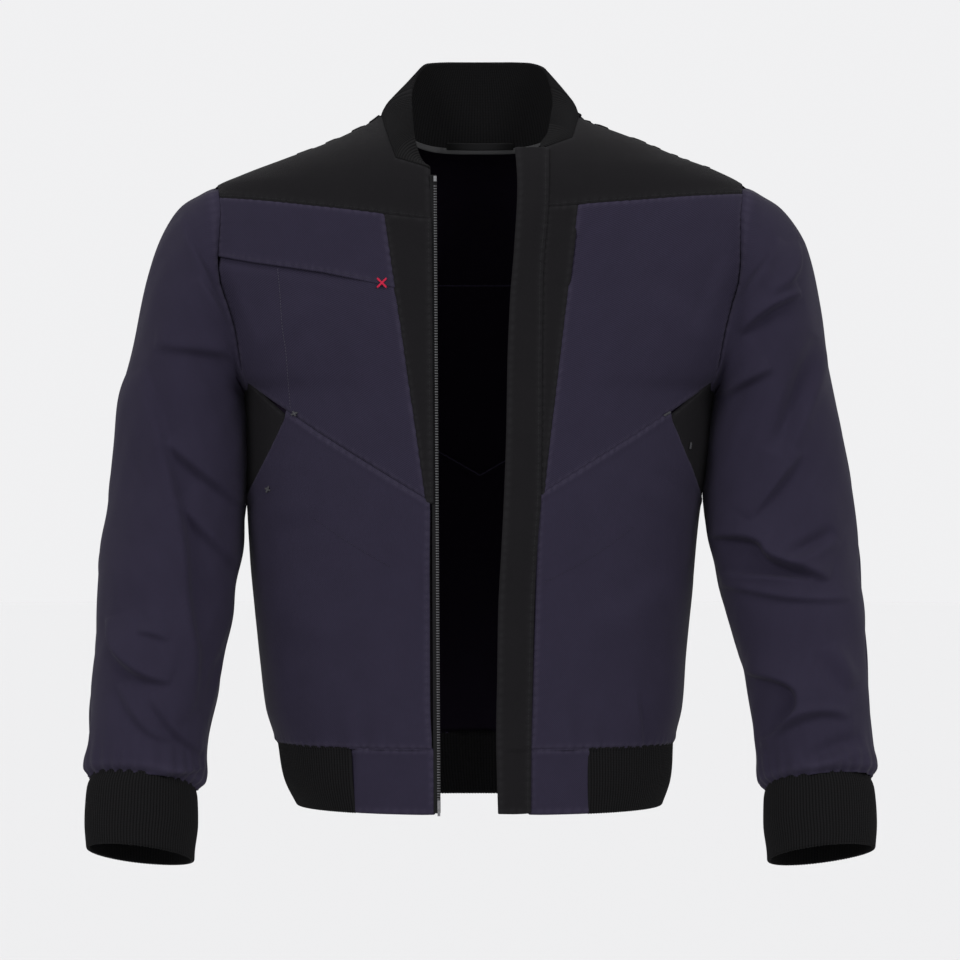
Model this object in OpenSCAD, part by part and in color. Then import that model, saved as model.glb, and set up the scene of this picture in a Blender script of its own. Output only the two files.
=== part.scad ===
// Open-front woven work jacket with rib collar, cuffs and hem, hanging as worn.
// Millimetres. +X is the wearer's left, +Y the wearer's back, +Z up.
// The origin is the centre of the neck seam, where the jacket is held up.

/* [Body] */
// Half of the body width just under the armholes
chest_half = 226; // [218:1:234]
// Half of the body width at the seam of the hem band
waist_half = 191; // [180:1:200]
// Half of the width from shoulder seam to shoulder seam
shoulder_half = 254; // [246:1:262]
// Half of the width of the neck seam
neck_half = 95; // [88:1:102]
// Depth of the front, from the middle plane, at the hem
front_hem_depth = 131; // [120:1:140]
// Depth of the front, from the middle plane, at the chest seam
front_top_depth = 103; // [96:1:110]
// Depth of the back at the shoulder blades
back_depth_max = 122; // [110:1:130]
// Thickness that stands for cloth, lining and seam allowances
cloth_t = 2.4; // [1.6:0.2:3]

/* [Lengths] */
// Height of the shoulder seam at the neck, above the origin
neck_z = 20; // [16:1:24]
// Depth of the shoulder point below the origin
shoulder_drop = 40; // [34:1:46]
// Depth of the armpit below the origin
armpit_drop = 240; // [232:1:248]
// Depth of the hem seam below the origin
hem_seam_drop = 578; // [560:1:600]
// Height of the hem band
hem_h = 60; // [50:1:70]
// Height of the rib cuff
cuff_h = 62; // [50:1:70]
// Height of the rib collar at the middle of the back
collar_h = 84; // [60:1:90]

/* [Front edges] */
// Distance of the right-hand zip edge from the middle plane, at the neck
right_edge_top = 47; // [42:1:52]
// Distance of the right-hand zip edge from the middle plane, at the hem
right_edge_hem = 43; // [40:1:48]
// Distance of the flap's seam from the middle plane, at the neck
flap_root_top = 64; // [60:1:68]
// Distance of the flap's seam from the middle plane, at the hem
flap_root_hem = 47; // [45:1:52]
// Width of the storm flap
flap_w = 31; // [26:1:34]
// Gap left between neighbouring cloth panels
seam_gap = 2.4; // [1.6:0.2:3]

/* [Zip] */
// Width of one row of zip teeth
teeth_w = 3; // [2.4:0.2:3.4]
// Thickness of the zip teeth
teeth_t = 2.2; // [1.8:0.2:2.4]
// Width of the slider
slider_w = 9.6; // [9:0.2:11]
// Length of the slider
slider_l = 11; // [10:0.5:12]
// Length of the pull tab
pull_l = 20; // [16:1:21]

/* [Hidden] */
$fn = 32;
roundness = 2.4;             // exponent of the body's horizontal sections
shoulder_z = -shoulder_drop;
armpit_z = -armpit_drop;
hem_seam_z = -hem_seam_drop;
hem_z = hem_seam_z - hem_h;
zip_top_z = -40;
side_angle = 95;             // angle about Z of the side seam

function lerp(a, b, t) = a + (b - a) * t;
function spow(v, e) = sign(v) * pow(abs(v), e);
function unit3(v) = v / max(norm(v), 1e-9);

// Half-width of the body at height z: shoulder slope, room for the armhole, then the sides.
function half_width(z) = lookup(z, [
    [hem_z, waist_half - 13], [hem_z + 24, waist_half - 4], [hem_seam_z, waist_half],
    [lerp(armpit_z, hem_seam_z, 0.88), lerp(chest_half, waist_half, 0.63)],
    [lerp(armpit_z, hem_seam_z, 0.62), lerp(chest_half, waist_half, 0.35)],
    [lerp(armpit_z, hem_seam_z, 0.33), chest_half - 4],
    [armpit_z, chest_half + 1], [armpit_z + 15, chest_half + 17], [armpit_z + 40, chest_half + 36],
    [armpit_z + 80, shoulder_half + 26], [armpit_z + 120, shoulder_half + 32],
    [shoulder_z - 40, shoulder_half + 26], [shoulder_z - 20, shoulder_half + 18],
    [shoulder_z, shoulder_half], [neck_z, neck_half]]);

// Depth of the front and of the back from the middle plane at height z.
function front_depth(z) = lookup(z, [
    [hem_z, front_hem_depth], [-70, front_top_depth], [-45, front_top_depth - 3],
    [-28, front_top_depth - 8], [-14, 84], [0, 68], [10, 52], [neck_z, 30]]);
function back_depth(z) = lookup(z, [
    [hem_z, back_depth_max - 10], [-450, back_depth_max - 14], [-350, back_depth_max - 8],
    [-250, back_depth_max], [-160, back_depth_max - 1], [-100, back_depth_max - 10],
    [shoulder_z, 94], [-14, 80], [0, 66], [10, 52], [neck_z, 35]]);

// Point of the body's skin at angle u about Z (0 front, 90 wearer's left, 180 back) and height z.
function skin(u, z, inset = 0) =
    let (a = half_width(z) - inset, b = (cos(u) >= 0 ? front_depth(z) : back_depth(z)) - inset)
    [a * spow(sin(u), 2 / roundness), -b * spow(cos(u), 2 / roundness), z];
// Angle u of the front skin at distance x from the middle plane.
function angle_at(x, z) = asin(pow(min(abs(x) / half_width(z), 1), roundness / 2));
function front_at(x, z, inset = 0) = skin(angle_at(x, z), z, inset);
function back_at(x, z, inset = 0) = skin(180 - (x >= 0 ? 1 : -1) * angle_at(x, z), z, inset);

// Outer ends of the shoulder seam and the armhole's edge at height z.
function ridge_z(x) = lerp(neck_z, shoulder_z, (abs(x) - neck_half) / (shoulder_half - neck_half));
function arm_x(z) = lookup(z, [
    [armpit_z, chest_half], [armpit_z + 23, chest_half + 3], [armpit_z + 55, chest_half + 8],
    [armpit_z + 80, shoulder_half - 14], [armpit_z + 107, shoulder_half - 4],
    [shoulder_z - 35, shoulder_half - 4], [shoulder_z, shoulder_half]]);

// Seams of one front; side is 1 on the wearer's left and -1 on the wearer's right.
function edge_x(side, z) = let (t = (zip_top_z - z) / (zip_top_z - hem_z))
    side > 0 ? lerp(flap_root_top, flap_root_hem, t) : lerp(right_edge_top, right_edge_hem, t);
function yoke_seam_z(side, x) = side > 0 ? lerp(-72, -49, x / shoulder_half) : lerp(-84, -52, x / shoulder_half);
function strip_x(side, z) = lookup(z, [[-340, side > 0 ? 60 : 52], [-65, side > 0 ? 93 : 92]]);
function diagonal_z(x) = lookup(x, [[45, -346], [150, -281], [chest_half + 3, -228]]);
function neck_front_z(side, x) = side > 0 ? lookup(x, [[57, -10], [88, 1], [neck_half, neck_z]])
                                          : lookup(x, [[47, -28], [80, -18], [neck_half, neck_z]]);
function pocket_edge_x(z) = lookup(z, [[-342, 215], [-300, 196], [-265, 182]]);
function neck_back_z(x) = 2 + (neck_z - 3) * pow(min(abs(x) / neck_half, 1), 2);
function back_vee_z(x) = lookup(abs(x), [[0, -320], [90, -268], [chest_half, armpit_z - 3]]);
back_yoke_z = -130;
ridge_gap = 2;               // half of the gap along the shoulder seam

// Grid of points of a surface function, and the closed sheet that hangs inward from it.
function grid(n, m, f) = [for (i = [0:n - 1]) [for (j = [0:m - 1]) f(i / (n - 1), j / (m - 1))]];
function ring_grid(n, rows, f) = [for (i = [0:n - 1]) [for (row = rows) f(i * 360 / n, row)]];
function grid_normal(g, i, j, wrap) =
    let (n = len(g), m = len(g[0]),
         before = wrap ? (i + n - 1) % n : max(i - 1, 0), after = wrap ? (i + 1) % n : min(i + 1, n - 1))
    unit3(cross(g[after][j] - g[before][j], g[i][min(j + 1, m - 1)] - g[i][max(j - 1, 0)]));

module sheet(g, t, wrap = false) {
    n = len(g);
    m = len(g[0]);
    k = n * m;
    last = wrap ? n - 1 : n - 2;
    function id(i, j) = (i % n) * m + j;
    function quad(a, b, c, d) = [[a, b, c], [a, c, d]];
    outer = [for (i = [0:n - 1]) for (j = [0:m - 1]) g[i][j]];
    inner = [for (i = [0:n - 1]) for (j = [0:m - 1]) g[i][j] - t * grid_normal(g, i, j, wrap)];
    faces = concat(
        [for (i = [0:last]) for (j = [0:m - 2]) each quad(id(i, j), id(i, j + 1), id(i + 1, j + 1), id(i + 1, j))],
        [for (i = [0:last]) for (j = [0:m - 2]) each
            quad(k + id(i, j), k + id(i + 1, j), k + id(i + 1, j + 1), k + id(i, j + 1))],
        [for (i = [0:last]) each quad(id(i, 0), id(i + 1, 0), k + id(i + 1, 0), k + id(i, 0))],
        [for (i = [0:last]) each quad(id(i + 1, m - 1), id(i, m - 1), k + id(i, m - 1), k + id(i + 1, m - 1))],
        wrap ? [] : [for (j = [0:m - 2]) each quad(id(0, j + 1), id(0, j), k + id(0, j), k + id(0, j + 1))],
        wrap ? [] : [for (j = [0:m - 2]) each
            quad(id(n - 1, j), id(n - 1, j + 1), k + id(n - 1, j + 1), k + id(n - 1, j))]);
    polyhedron(concat(outer, inner), faces, convexity = 8);
}

// Shapes of the wearer's left are mirrored for the wearer's right.
module on_side(side) {
    if (side > 0) children();
    else mirror([1, 0, 0]) children();
}

// Children drawn along Z are laid along the straight line from p0 to p1.
module along(p0, p1) {
    d = (p1 - p0) / norm(p1 - p0);
    translate(p0) rotate([asin(-d.y), atan2(d.x, d.z), 0]) children();
}

navy_cloth = [0.18, 0.16, 0.24];
black_cloth = [0.12, 0.12, 0.12];
rib_knit = [0.10, 0.10, 0.11];
zip_metal = [0.55, 0.55, 0.56];
pale_thread = [0.62, 0.62, 0.62];
red_thread = [0.80, 0.10, 0.22];

// ---- Front panels ----
module front_yoke(side) {
    g = seam_gap / 2;
    color(black_cloth) on_side(side) sheet(grid(15, 7, function (s, t)
        let (down = 1 - t,
             xt = s < 0.3 ? lerp(side > 0 ? 58 : 49, neck_half, s / 0.3)
                          : lerp(neck_half, shoulder_half - g, (s - 0.3) / 0.7),
             zt = s < 0.3 ? neck_front_z(side, xt) : ridge_z(xt),
             xb = lerp(edge_x(side, -80) + g, arm_x(-60) - g, s),
             zb = yoke_seam_z(side, xb) + g)
        front_at(lerp(xt, xb, down), lerp(zt, zb, down * down)) - [0, ridge_gap * (1 - down), 0]), cloth_t);
}

module chest_panel(side) {
    g = seam_gap / 2;
    color(navy_cloth) on_side(side) sheet(grid(10, 10, function (s, t)
        let (zb = diagonal_z(lerp(strip_x(side, -335), chest_half + 2, s)) + g,
             zt = yoke_seam_z(side, lerp(92, shoulder_half - 4, s)) - g,
             z = lerp(zb, zt, t))
        front_at(lerp(strip_x(side, z) + g, arm_x(z) - g, s), z)), cloth_t);
}

module centre_strip(side) {
    g = seam_gap / 2;
    color(black_cloth) on_side(side) sheet(grid(4, 10, function (s, t)
        let (x0 = edge_x(side, -80), zt = yoke_seam_z(side, lerp(x0, 92, s)) - g,
             z = lerp(-318, zt, t))
        front_at(lerp(edge_x(side, z) + g, strip_x(side, z) - g, s), z)), cloth_t);
}

module lower_front(side) {
    g = seam_gap / 2;
    zb = hem_seam_z + g;
    color(navy_cloth) on_side(side) sheet(grid(16, 10, function (s, t)
        let (xt = s < 0.6 ? lerp(edge_x(side, -343) + g, 182, s / 0.6) : 0,
             zt = s < 0.6 ? diagonal_z(xt) - g * 2
                : s < 0.8 ? lerp(diagonal_z(182) - g * 2, -342 - g, (s - 0.6) / 0.2) : -342 - g,
             ut = s < 0.6 ? angle_at(xt, zt)
                : s < 0.8 ? angle_at(pocket_edge_x(zt) - g, zt)
                : lerp(angle_at(pocket_edge_x(-342) - g, -342 - g), side_angle, (s - 0.8) / 0.2),
             ub = lerp(angle_at(edge_x(side, zb) + g, zb), side_angle, s),
             z = lerp(zb, zt, t))
        skin(lerp(ub, ut, t), z)), cloth_t);
}

module underarm_gusset(side) {
    g = seam_gap / 2;
    color(black_cloth) on_side(side) sheet(grid(6, 8, function (s, t)
        let (z = lerp(-342 + g, armpit_z - 3, t),
             x0 = max(pocket_edge_x(z), lookup(z, [[-265, 182], [-228, chest_half + 3]])) + g,
             u0 = angle_at(min(x0, half_width(z)), z))
        skin(lerp(u0, side_angle, s), z)), cloth_t);
}

// ---- Back panels ----
module back_yoke() {
    g = seam_gap / 2;
    color(black_cloth) sheet(grid(23, 7, function (s, t)
        let (down = 1 - t, v = 1 - 2 * s, x_arm = arm_x(back_yoke_z) - g,
             xt = v * (shoulder_half - g),
             zt = abs(xt) < neck_half ? neck_back_z(xt) : ridge_z(xt),
             xb = v * x_arm)
        back_at(lerp(xt, xb, down), lerp(zt, back_yoke_z + g, down * down)) + [0, ridge_gap * (1 - down), 0]), cloth_t);
}

module back_upper() {
    g = seam_gap / 2;
    color(navy_cloth) sheet(grid(19, 7, function (s, t)
        let (v = 1 - 2 * s,
             z = lerp(back_vee_z(v * chest_half) + g, back_yoke_z - g, t))
        back_at(v * (arm_x(z) - g), z)), cloth_t);
}

module back_lower() {
    g = seam_gap / 2;
    half_span = 180 - side_angle - 0.7;
    color(navy_cloth) sheet(grid(23, 9, function (s, t)
        let (v = 1 - 2 * s, xt = v * chest_half, zt = back_vee_z(xt) - g,
             top = min(angle_at(xt, zt), half_span))
        skin(180 - lerp(v * half_span, sign(v) * top, t), lerp(hem_seam_z + g, zt, t))), cloth_t);
}

// ---- Hem band ----
rib_t = cloth_t + 0.8;
tab_x_right = 118;
tab_x_left = 103;

module hem_rib() {
    g = seam_gap / 2;
    zt = hem_seam_z - g;
    color(rib_knit) sheet(grid(37, 3, function (s, t)
        let (z = lerp(hem_z, zt, t))
        skin(lerp(angle_at(tab_x_left + g, z), 360 - angle_at(tab_x_right + g, z), s), z)), rib_t);
}

module hem_tab(side) {
    g = seam_gap / 2;
    x1 = (side > 0 ? tab_x_left : tab_x_right) - g;
    color(navy_cloth) on_side(side) sheet(grid(5, 3, function (s, t)
        let (z = lerp(hem_z, hem_seam_z - g, t))
        front_at(lerp(edge_x(side, z) + g, x1, s), z)), cloth_t);
}

// ---- Collar and neck ----
// Neck seam at w: -1 is the right front end, 0 the middle of the back, 1 the left front end.
function neck_seam(w) =
    let (h = abs(w), side = w < 0 ? -1 : 1, end = w < 0 ? right_edge_top + 1 : flap_root_top - 5,
         x = h < 0.5 ? neck_half * sin(180 * h) : end + (neck_half - end) * cos(180 * h - 90),
         p = h < 0.5 ? back_at(x, neck_back_z(x)) : front_at(x, neck_front_z(side, x)))
    [side * p.x, p.y, p.z];
// Height of the collar above its seam and its lean towards the neck.
function collar_rise(h) = lookup(h, [[0, collar_h], [0.25, collar_h - 10], [0.5, collar_h - 36], [0.75, 34], [1, 10]]);
function collar_lean(h) = lookup(h, [[0, 0.2], [0.25, 0.26], [0.5, 0.28], [0.75, 0.16], [1, 0.02]]);
function collar_point(w, top) =
    let (p = neck_seam(w), k = 1 - collar_lean(abs(w)) * top)
    [p.x * k, p.y * k - 2 * top, p.z + 2.6 + collar_rise(abs(w)) * top];

module collar() {
    color(rib_knit) sheet(grid(29, 4, function (s, t) collar_point(2 * s - 1, t)), -3.2);
}

module neck_tape() {
    color(pale_thread) sheet(grid(15, 2, function (s, t)
        let (w = 0.86 * s - 0.43, p = collar_point(w, 0.07 + 0.07 * t), c = [0, -10, p.z])
        p + (c - p) * 4.6 / norm(c - p)), -0.8);
}

// Loop of tape that bows forward from the neck seam.
loop_half = 34;
loop_bow = 17;
module hanger_loop() {
    r = (loop_half * loop_half + loop_bow * loop_bow) / (2 * loop_bow);
    color(black_cloth) translate([0, 54, 1]) linear_extrude(6) difference() {
        intersection() {
            translate([0, r - loop_bow]) circle(r, $fn = 96);
            translate([-loop_half, -loop_bow - 1]) square([2 * loop_half, loop_bow]);
        }
        translate([0, r - loop_bow]) circle(r - 1.4, $fn = 96);
    }
}

// ---- Inside strips and pocket bags ----
module facing(side) {
    color(black_cloth) on_side(side) sheet(grid(4, 12, function (s, t)
        let (z = lerp(hem_z + 4, -92, t), x0 = edge_x(side, z) + 3)
        front_at(lerp(x0, x0 + 42, s), z, 5.5)), 1.4);
}

// Dished bag behind a front panel; its rim comes back to the panel away from the mouth.
module pocket_bag(side, x_in, x_out, z_low, z_high, depth) {
    on_side(side) sheet(grid(9, 9, function (s, t)
        let (z = lerp(z_low, z_high, t), rim = min(1, 4 * s) * min(1, 4 * t))
        front_at(min(lerp(x_in, x_out, s), half_width(z) - 14), z, cloth_t + 0.5 + depth * rim)), 1.4);
}
module hand_pocket_bag(side) { color(black_cloth) pocket_bag(side, 98, 205, -500, -315, 9); }
module chest_pocket_bag_right() { color(black_cloth) pocket_bag(-1, 98, 214, -262, -122, 9); }
module chest_pocket_bag_left() { color(black_cloth) pocket_bag(1, 104, 205, -232, -88, 9); }

// ---- Storm flap over the zip, sewn on the wearer's left ----
flap_t = 2;
module storm_flap() {
    color(black_cloth) sheet(grid(7, 12, function (s, t)
        let (z = lerp(hem_z + 1, -36, t), rise = sin(90 * min(1, 2.2 * s)), x0 = edge_x(1, z) - 1.5)
        front_at(x0 - (flap_w - 1.5) * s, z, -(1.4 + flap_t + 5.2 * rise))), -flap_t);
}

// ---- Zip ----
// Straight line of one row of teeth, from its low end to its high end.
function zip_point(side, z) =
    let (t = (zip_top_z - z) / (zip_top_z - hem_z), in = side > 0 ? 4 : 0.5)
    [side > 0 ? lerp(flap_root_top, flap_root_hem, t) - 14.5 : -(lerp(right_edge_top, right_edge_hem, t) - 4.5),
     -lerp(front_top_depth - 3.4, front_hem_depth - 1, t) + in, z];

module zip_bar(side, z0, z1, x0, w, thick) {
    p0 = zip_point(side, z0);
    p1 = zip_point(side, z1);
    along(p0, p1) translate([x0, -thick / 2, 0]) cube([w, thick, norm(p1 - p0)]);
}
module zip_teeth(side) { color(zip_metal) zip_bar(side, hem_z + 13, zip_top_z - 3, -teeth_w / 2, teeth_w, teeth_t); }
module zip_tape(side) {
    w = side > 0 ? 12.5 : 4;
    color(black_cloth) zip_bar(side, hem_z + 1, zip_top_z + 3, side > 0 ? teeth_w / 2 : -teeth_w / 2 - w, w, 1);
}
module zip_top_stop(side) { color(zip_metal) zip_bar(side, zip_top_z - 2.8, zip_top_z + 2.4, -1.4, 2.8, 3); }
// Pin of the open end on the wearer's right, box of the open end on the wearer's left.
module zip_pin() { color(zip_metal) zip_bar(-1, hem_z - 2, hem_z + 12.8, -1.3, 2.6, 2.6); }
module zip_box() { color(zip_metal) zip_bar(1, hem_z + 1, hem_z + 12.8, -4.6, 6, 3.6); }

// The slider and its pull are drawn about the slider's centre, with Z along the teeth.
slider_z = hem_z + 13 + 0.6 + 5.5;
plate_t = 1.2;
plate_y = teeth_t / 2 + 0.3;
crown_y = -(plate_y + plate_t + 1.5);
crown_z = 2.6;
module on_slider() {
    along(zip_point(1, slider_z), zip_point(1, zip_top_z)) children();
}
module zip_slider() {
    color(zip_metal) on_slider() {
        for (s = [-1, 1]) {
            translate([-slider_w / 2, s > 0 ? plate_y : -plate_y - plate_t, -slider_l / 2])
                cube([slider_w, plate_t, slider_l]);
            for (e = [-1, 1], f = [-1, 1])
                translate([e * (slider_w / 2 - 0.5) - 0.5, f > 0 ? 0.8 : -plate_y - 0.01, -slider_l / 2])
                    cube([1, plate_y - 0.79, slider_l]);
            translate([s * 2.5 - 0.5, crown_y - 0.9, crown_z - 1.6]) cube([1, -crown_y - plate_y + 0.9, 3.2]);
        }
        translate([-3.1, -plate_y - 0.1, 0.5]) cube([1.2, 2 * plate_y + 0.2, slider_l / 2 - 0.5]);
        translate([-2.6, crown_y, crown_z]) rotate([0, 90, 0]) cylinder(r = 0.6, h = 5.2);
    }
}
module zip_pull() {
    color(zip_metal) on_slider() translate([0, crown_y, crown_z]) difference() {
        union() {
            translate([-1.8, 0, 0]) rotate([0, 90, 0]) cylinder(r = 1.25, h = 3.6);
            translate([-1.8, -0.55, -5]) cube([3.6, 1.1, 5]);
            translate([-2.8, -0.55, -pull_l]) cube([5.6, 1.1, pull_l - 4]);
        }
        translate([-3, 0, 0]) rotate([0, 90, 0]) cylinder(r = 0.68, h = 6);
        translate([-1.6, -1, -pull_l + 2]) cube([3.2, 2, 6]);
    }
}

// ---- Sleeves ----
// Each row of the sleeve: outer x and z, inner x and z, centre y, half-depth, tilt of the section.
sleeve_rows = [
    [shoulder_half + 36, shoulder_z - 20, chest_half + 3, armpit_z - 3, 0, 78, 0],
    [shoulder_half + 62, shoulder_z - 60, chest_half + 5, armpit_z - 6, -1, 77, 0],
    [shoulder_half + 75, shoulder_z - 115, chest_half + 6, armpit_z - 11, -2, 75, 0],
    [shoulder_half + 86, -205, chest_half + 6, -268, -4, 72, 1],
    [shoulder_half + 94, -250, chest_half + 5, -300, -8, 70, 3],
    [shoulder_half + 106, -335, chest_half + 3, -352, -16, 67, 7],
    [shoulder_half + 114, -436, chest_half + 13, -446, -40, 63, 12],
    [shoulder_half + 117, -532, chest_half + 27, -540, -66, 58, 15],
    [shoulder_half + 121, -606, chest_half + 39, -616, -88, 54, 16]];
cuff_rows = [
    [shoulder_half + 117, -608.5, chest_half + 43, -618.5, -91, 49, 16],
    [shoulder_half + 118, -608.5 - cuff_h, chest_half + 45, -618.5 - cuff_h, -109, 48, 16]];

// Point at angle a around a sleeve row; a = 0 is the outer edge, 90 the back.
function row_point(r, a) =
    let (out = [r[0], 0, r[1]], in = [r[2], 0, r[3]], mid = (out + in) / 2, half = (out - in) / 2)
    mid + [0, r[4], 0] + half * cos(a) + r[5] * sin(a) * [0, cos(r[6]), -sin(r[6])];
// Point of the armhole's edge, moved outward by d.
function armhole_point(a, d) =
    let (z = (shoulder_z + armpit_z) / 2 + (shoulder_z - armpit_z) / 2 * cos(a), x = arm_x(z),
         k = pow(max(1 - pow(min(x / half_width(z), 1), roundness), 0), 1 / roundness))
    [x + d, (sin(a) >= 0 ? back_depth(z) : -front_depth(z)) * k * min(1, abs(sin(a)) * 3), z];

split_row = 2;
module sleeve_head(side) {
    rows = [for (i = [0:2 * split_row + 2]) i / 2];
    color(navy_cloth) on_side(side) sheet(ring_grid(28, rows, function (a, r)
        r < 0.75 ? lerp(armhole_point(a, 1.6), row_point(sleeve_rows[0], a), r)
                 : let (q = r - 1, i = floor(q), j = min(i + 1, split_row))
                   lerp(row_point(sleeve_rows[i], a), row_point(sleeve_rows[j], a), q - i)), cloth_t, wrap = true);
}
module sleeve(side) {
    first = row_point(sleeve_rows[split_row], 0) - row_point(sleeve_rows[split_row], 180);
    down = 1.6 * unit3([first.z, 0, -first.x]);
    rows = [for (i = [split_row:len(sleeve_rows) - 1]) i];
    color(navy_cloth) on_side(side) sheet(ring_grid(28, rows, function (a, r)
        row_point(sleeve_rows[r], a) + (r == split_row ? down : [0, 0, 0])), cloth_t, wrap = true);
}
module cuff(side) {
    color(rib_knit) on_side(side) sheet(ring_grid(28, [0, 1], function (a, r) row_point(cuff_rows[r], a)), rib_t, wrap = true);
}

// ---- Bar tacks: short dense stitches at the ends of the pocket mouths ----
// Children drawn in the XZ plane are laid on the front skin, leaning out by d.
module on_front(side, x, z, d = 1.8) {
    p = front_at(x, z, -d);
    q = front_at(x + 3, z, -d);
    on_side(side) translate(p) rotate([0, 0, atan2(q.y - p.y, q.x - p.x)]) children();
}
module tack(side, x, z, l, angle) {
    on_front(side, x, z) rotate([0, angle, 0]) translate([-l / 2, -0.7, -0.8]) cube([l, 0.7, 1.6]);
}
module cross_tack() {
    color(red_thread) on_front(-1, 99, -140) for (a = [-45, 45])
        rotate([0, a, 0]) translate([-6, -0.7, -0.8]) cube([12, 0.7, 1.6]);
}
module pen_tack() { color(pale_thread) tack(-1, 178, -255, 7, 0); }
module pocket_tack_right() { color(pale_thread) tack(-1, 190, -322, 7, 70); }
module pocket_tack_left_top() { color(pale_thread) tack(1, 176, -256, 7, 30); }
module pocket_tack_left_low() { color(pale_thread) tack(1, 194, -310, 6, 80); }

front_yoke(-1);  // front_yoke_right
front_yoke(1);  // front_yoke_left
chest_panel(-1);  // chest_panel_right
chest_panel(1);  // chest_panel_left
centre_strip(-1);  // centre_strip_right
centre_strip(1);  // centre_strip_left
lower_front(-1);  // lower_front_right
lower_front(1);  // lower_front_left
underarm_gusset(-1);  // underarm_gusset_right
underarm_gusset(1);  // underarm_gusset_left
back_yoke();
back_upper();
back_lower();
hem_rib();
hem_tab(-1);  // hem_tab_right
hem_tab(1);  // hem_tab_left
collar();
neck_tape();
hanger_loop();
facing(-1);  // facing_right
facing(1);  // facing_left
hand_pocket_bag(-1);  // hand_pocket_bag_right
hand_pocket_bag(1);  // hand_pocket_bag_left
chest_pocket_bag_right();
chest_pocket_bag_left();
storm_flap();
zip_tape(-1);  // zip_tape_right
zip_tape(1);  // zip_tape_left
zip_teeth(-1);  // zip_teeth_right
zip_teeth(1);  // zip_teeth_left
zip_top_stop(-1);  // zip_top_stop_right
zip_top_stop(1);  // zip_top_stop_left
zip_pin();
zip_box();
zip_slider();
zip_pull();
sleeve_head(-1);  // sleeve_head_right
sleeve_head(1);  // sleeve_head_left
sleeve(-1);  // sleeve_right
sleeve(1);  // sleeve_left
cuff(-1);  // cuff_right
cuff(1);  // cuff_left
cross_tack();
pen_tack();
pocket_tack_right();
pocket_tack_left_top();
pocket_tack_left_low();
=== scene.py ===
# Woven work jacket with rib collar, cuffs and hem: cloth, rib knit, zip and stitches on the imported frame.
import math
import bpy
import numpy as np
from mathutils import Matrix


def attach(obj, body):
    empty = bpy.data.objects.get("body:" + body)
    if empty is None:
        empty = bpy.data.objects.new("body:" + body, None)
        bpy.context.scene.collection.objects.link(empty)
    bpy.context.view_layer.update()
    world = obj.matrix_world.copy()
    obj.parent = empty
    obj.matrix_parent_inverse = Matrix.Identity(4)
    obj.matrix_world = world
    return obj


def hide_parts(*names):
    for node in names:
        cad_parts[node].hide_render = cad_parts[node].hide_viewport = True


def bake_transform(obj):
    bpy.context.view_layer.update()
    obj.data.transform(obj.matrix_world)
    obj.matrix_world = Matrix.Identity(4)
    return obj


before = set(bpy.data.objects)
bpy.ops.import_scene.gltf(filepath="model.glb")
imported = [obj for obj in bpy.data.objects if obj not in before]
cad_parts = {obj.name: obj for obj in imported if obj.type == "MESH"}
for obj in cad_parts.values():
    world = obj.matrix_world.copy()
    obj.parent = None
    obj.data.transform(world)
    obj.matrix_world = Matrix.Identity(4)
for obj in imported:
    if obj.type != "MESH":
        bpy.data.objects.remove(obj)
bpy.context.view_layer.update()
print("frame loaded")

# Shapes are worked out in millimetres and go into their meshes in metres.
mm = 0.001

cameraPlace = {"away": 3.5, "height": -0.325, "lens": 134.9}


def makeCamera():
    # looks along +Y, level, from the front
    data = bpy.data.cameras.new("camera")
    data.lens = cameraPlace["lens"]
    data.sensor_width = 36.0
    data.clip_end = 100.0
    camera = bpy.data.objects.new("camera", data)
    camera.location = (0.0, -cameraPlace["away"], cameraPlace["height"])
    camera.rotation_euler = (math.radians(90), 0, 0)
    bpy.context.scene.collection.objects.link(camera)
    bpy.context.scene.camera = camera


makeCamera()

studio = {
    "floorHeight": -1.45, "floorRadius": 30.0, "floorColor": (0.590, 0.590, 0.593),
    "worldColor": (0.875, 0.875, 0.885), "worldStrength": 1.0,
    # turn from the front, height angle and strength of each wide soft lamp
    "lamps": {"keyRight": (48, 30, 1.75), "keyLeft": (-48, 30, 1.75)}, "softness": 26,
}


def makeStudio():
    scene = bpy.context.scene
    scene.view_settings.view_transform = "Standard"
    world = bpy.data.worlds.new("studio")
    world.use_nodes = True
    background = world.node_tree.nodes["Background"]
    background.inputs["Color"].default_value = (*studio["worldColor"], 1)
    background.inputs["Strength"].default_value = studio["worldStrength"]
    scene.world = world
    for name, (turn, rise, strength) in studio["lamps"].items():
        lamp = bpy.data.lights.new(name, "SUN")
        lamp.angle = math.radians(studio["softness"])
        lamp.energy = strength
        holder = bpy.data.objects.new(name, lamp)
        holder.rotation_euler = (math.radians(90 - rise), 0, math.radians(turn))
        scene.collection.objects.link(holder)
    around = np.linspace(0, 2 * np.pi, 65)[:-1]
    radius = studio["floorRadius"]
    points = [(math.cos(a) * radius, math.sin(a) * radius, studio["floorHeight"]) for a in around]
    mesh = bpy.data.meshes.new("floor")
    mesh.from_pydata(points, [], [list(range(len(points)))])
    floor = bpy.data.objects.new("floor", mesh)
    scene.collection.objects.link(floor)
    paint = bpy.data.materials.new("floorPaint")
    paint.use_nodes = True
    shader = paint.node_tree.nodes["Principled BSDF"]
    shader.inputs["Base Color"].default_value = (*studio["floorColor"], 1)
    shader.inputs["Roughness"].default_value = 0.9
    mesh.materials.append(paint)


makeStudio()
print("camera, lamps and floor made")


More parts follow.
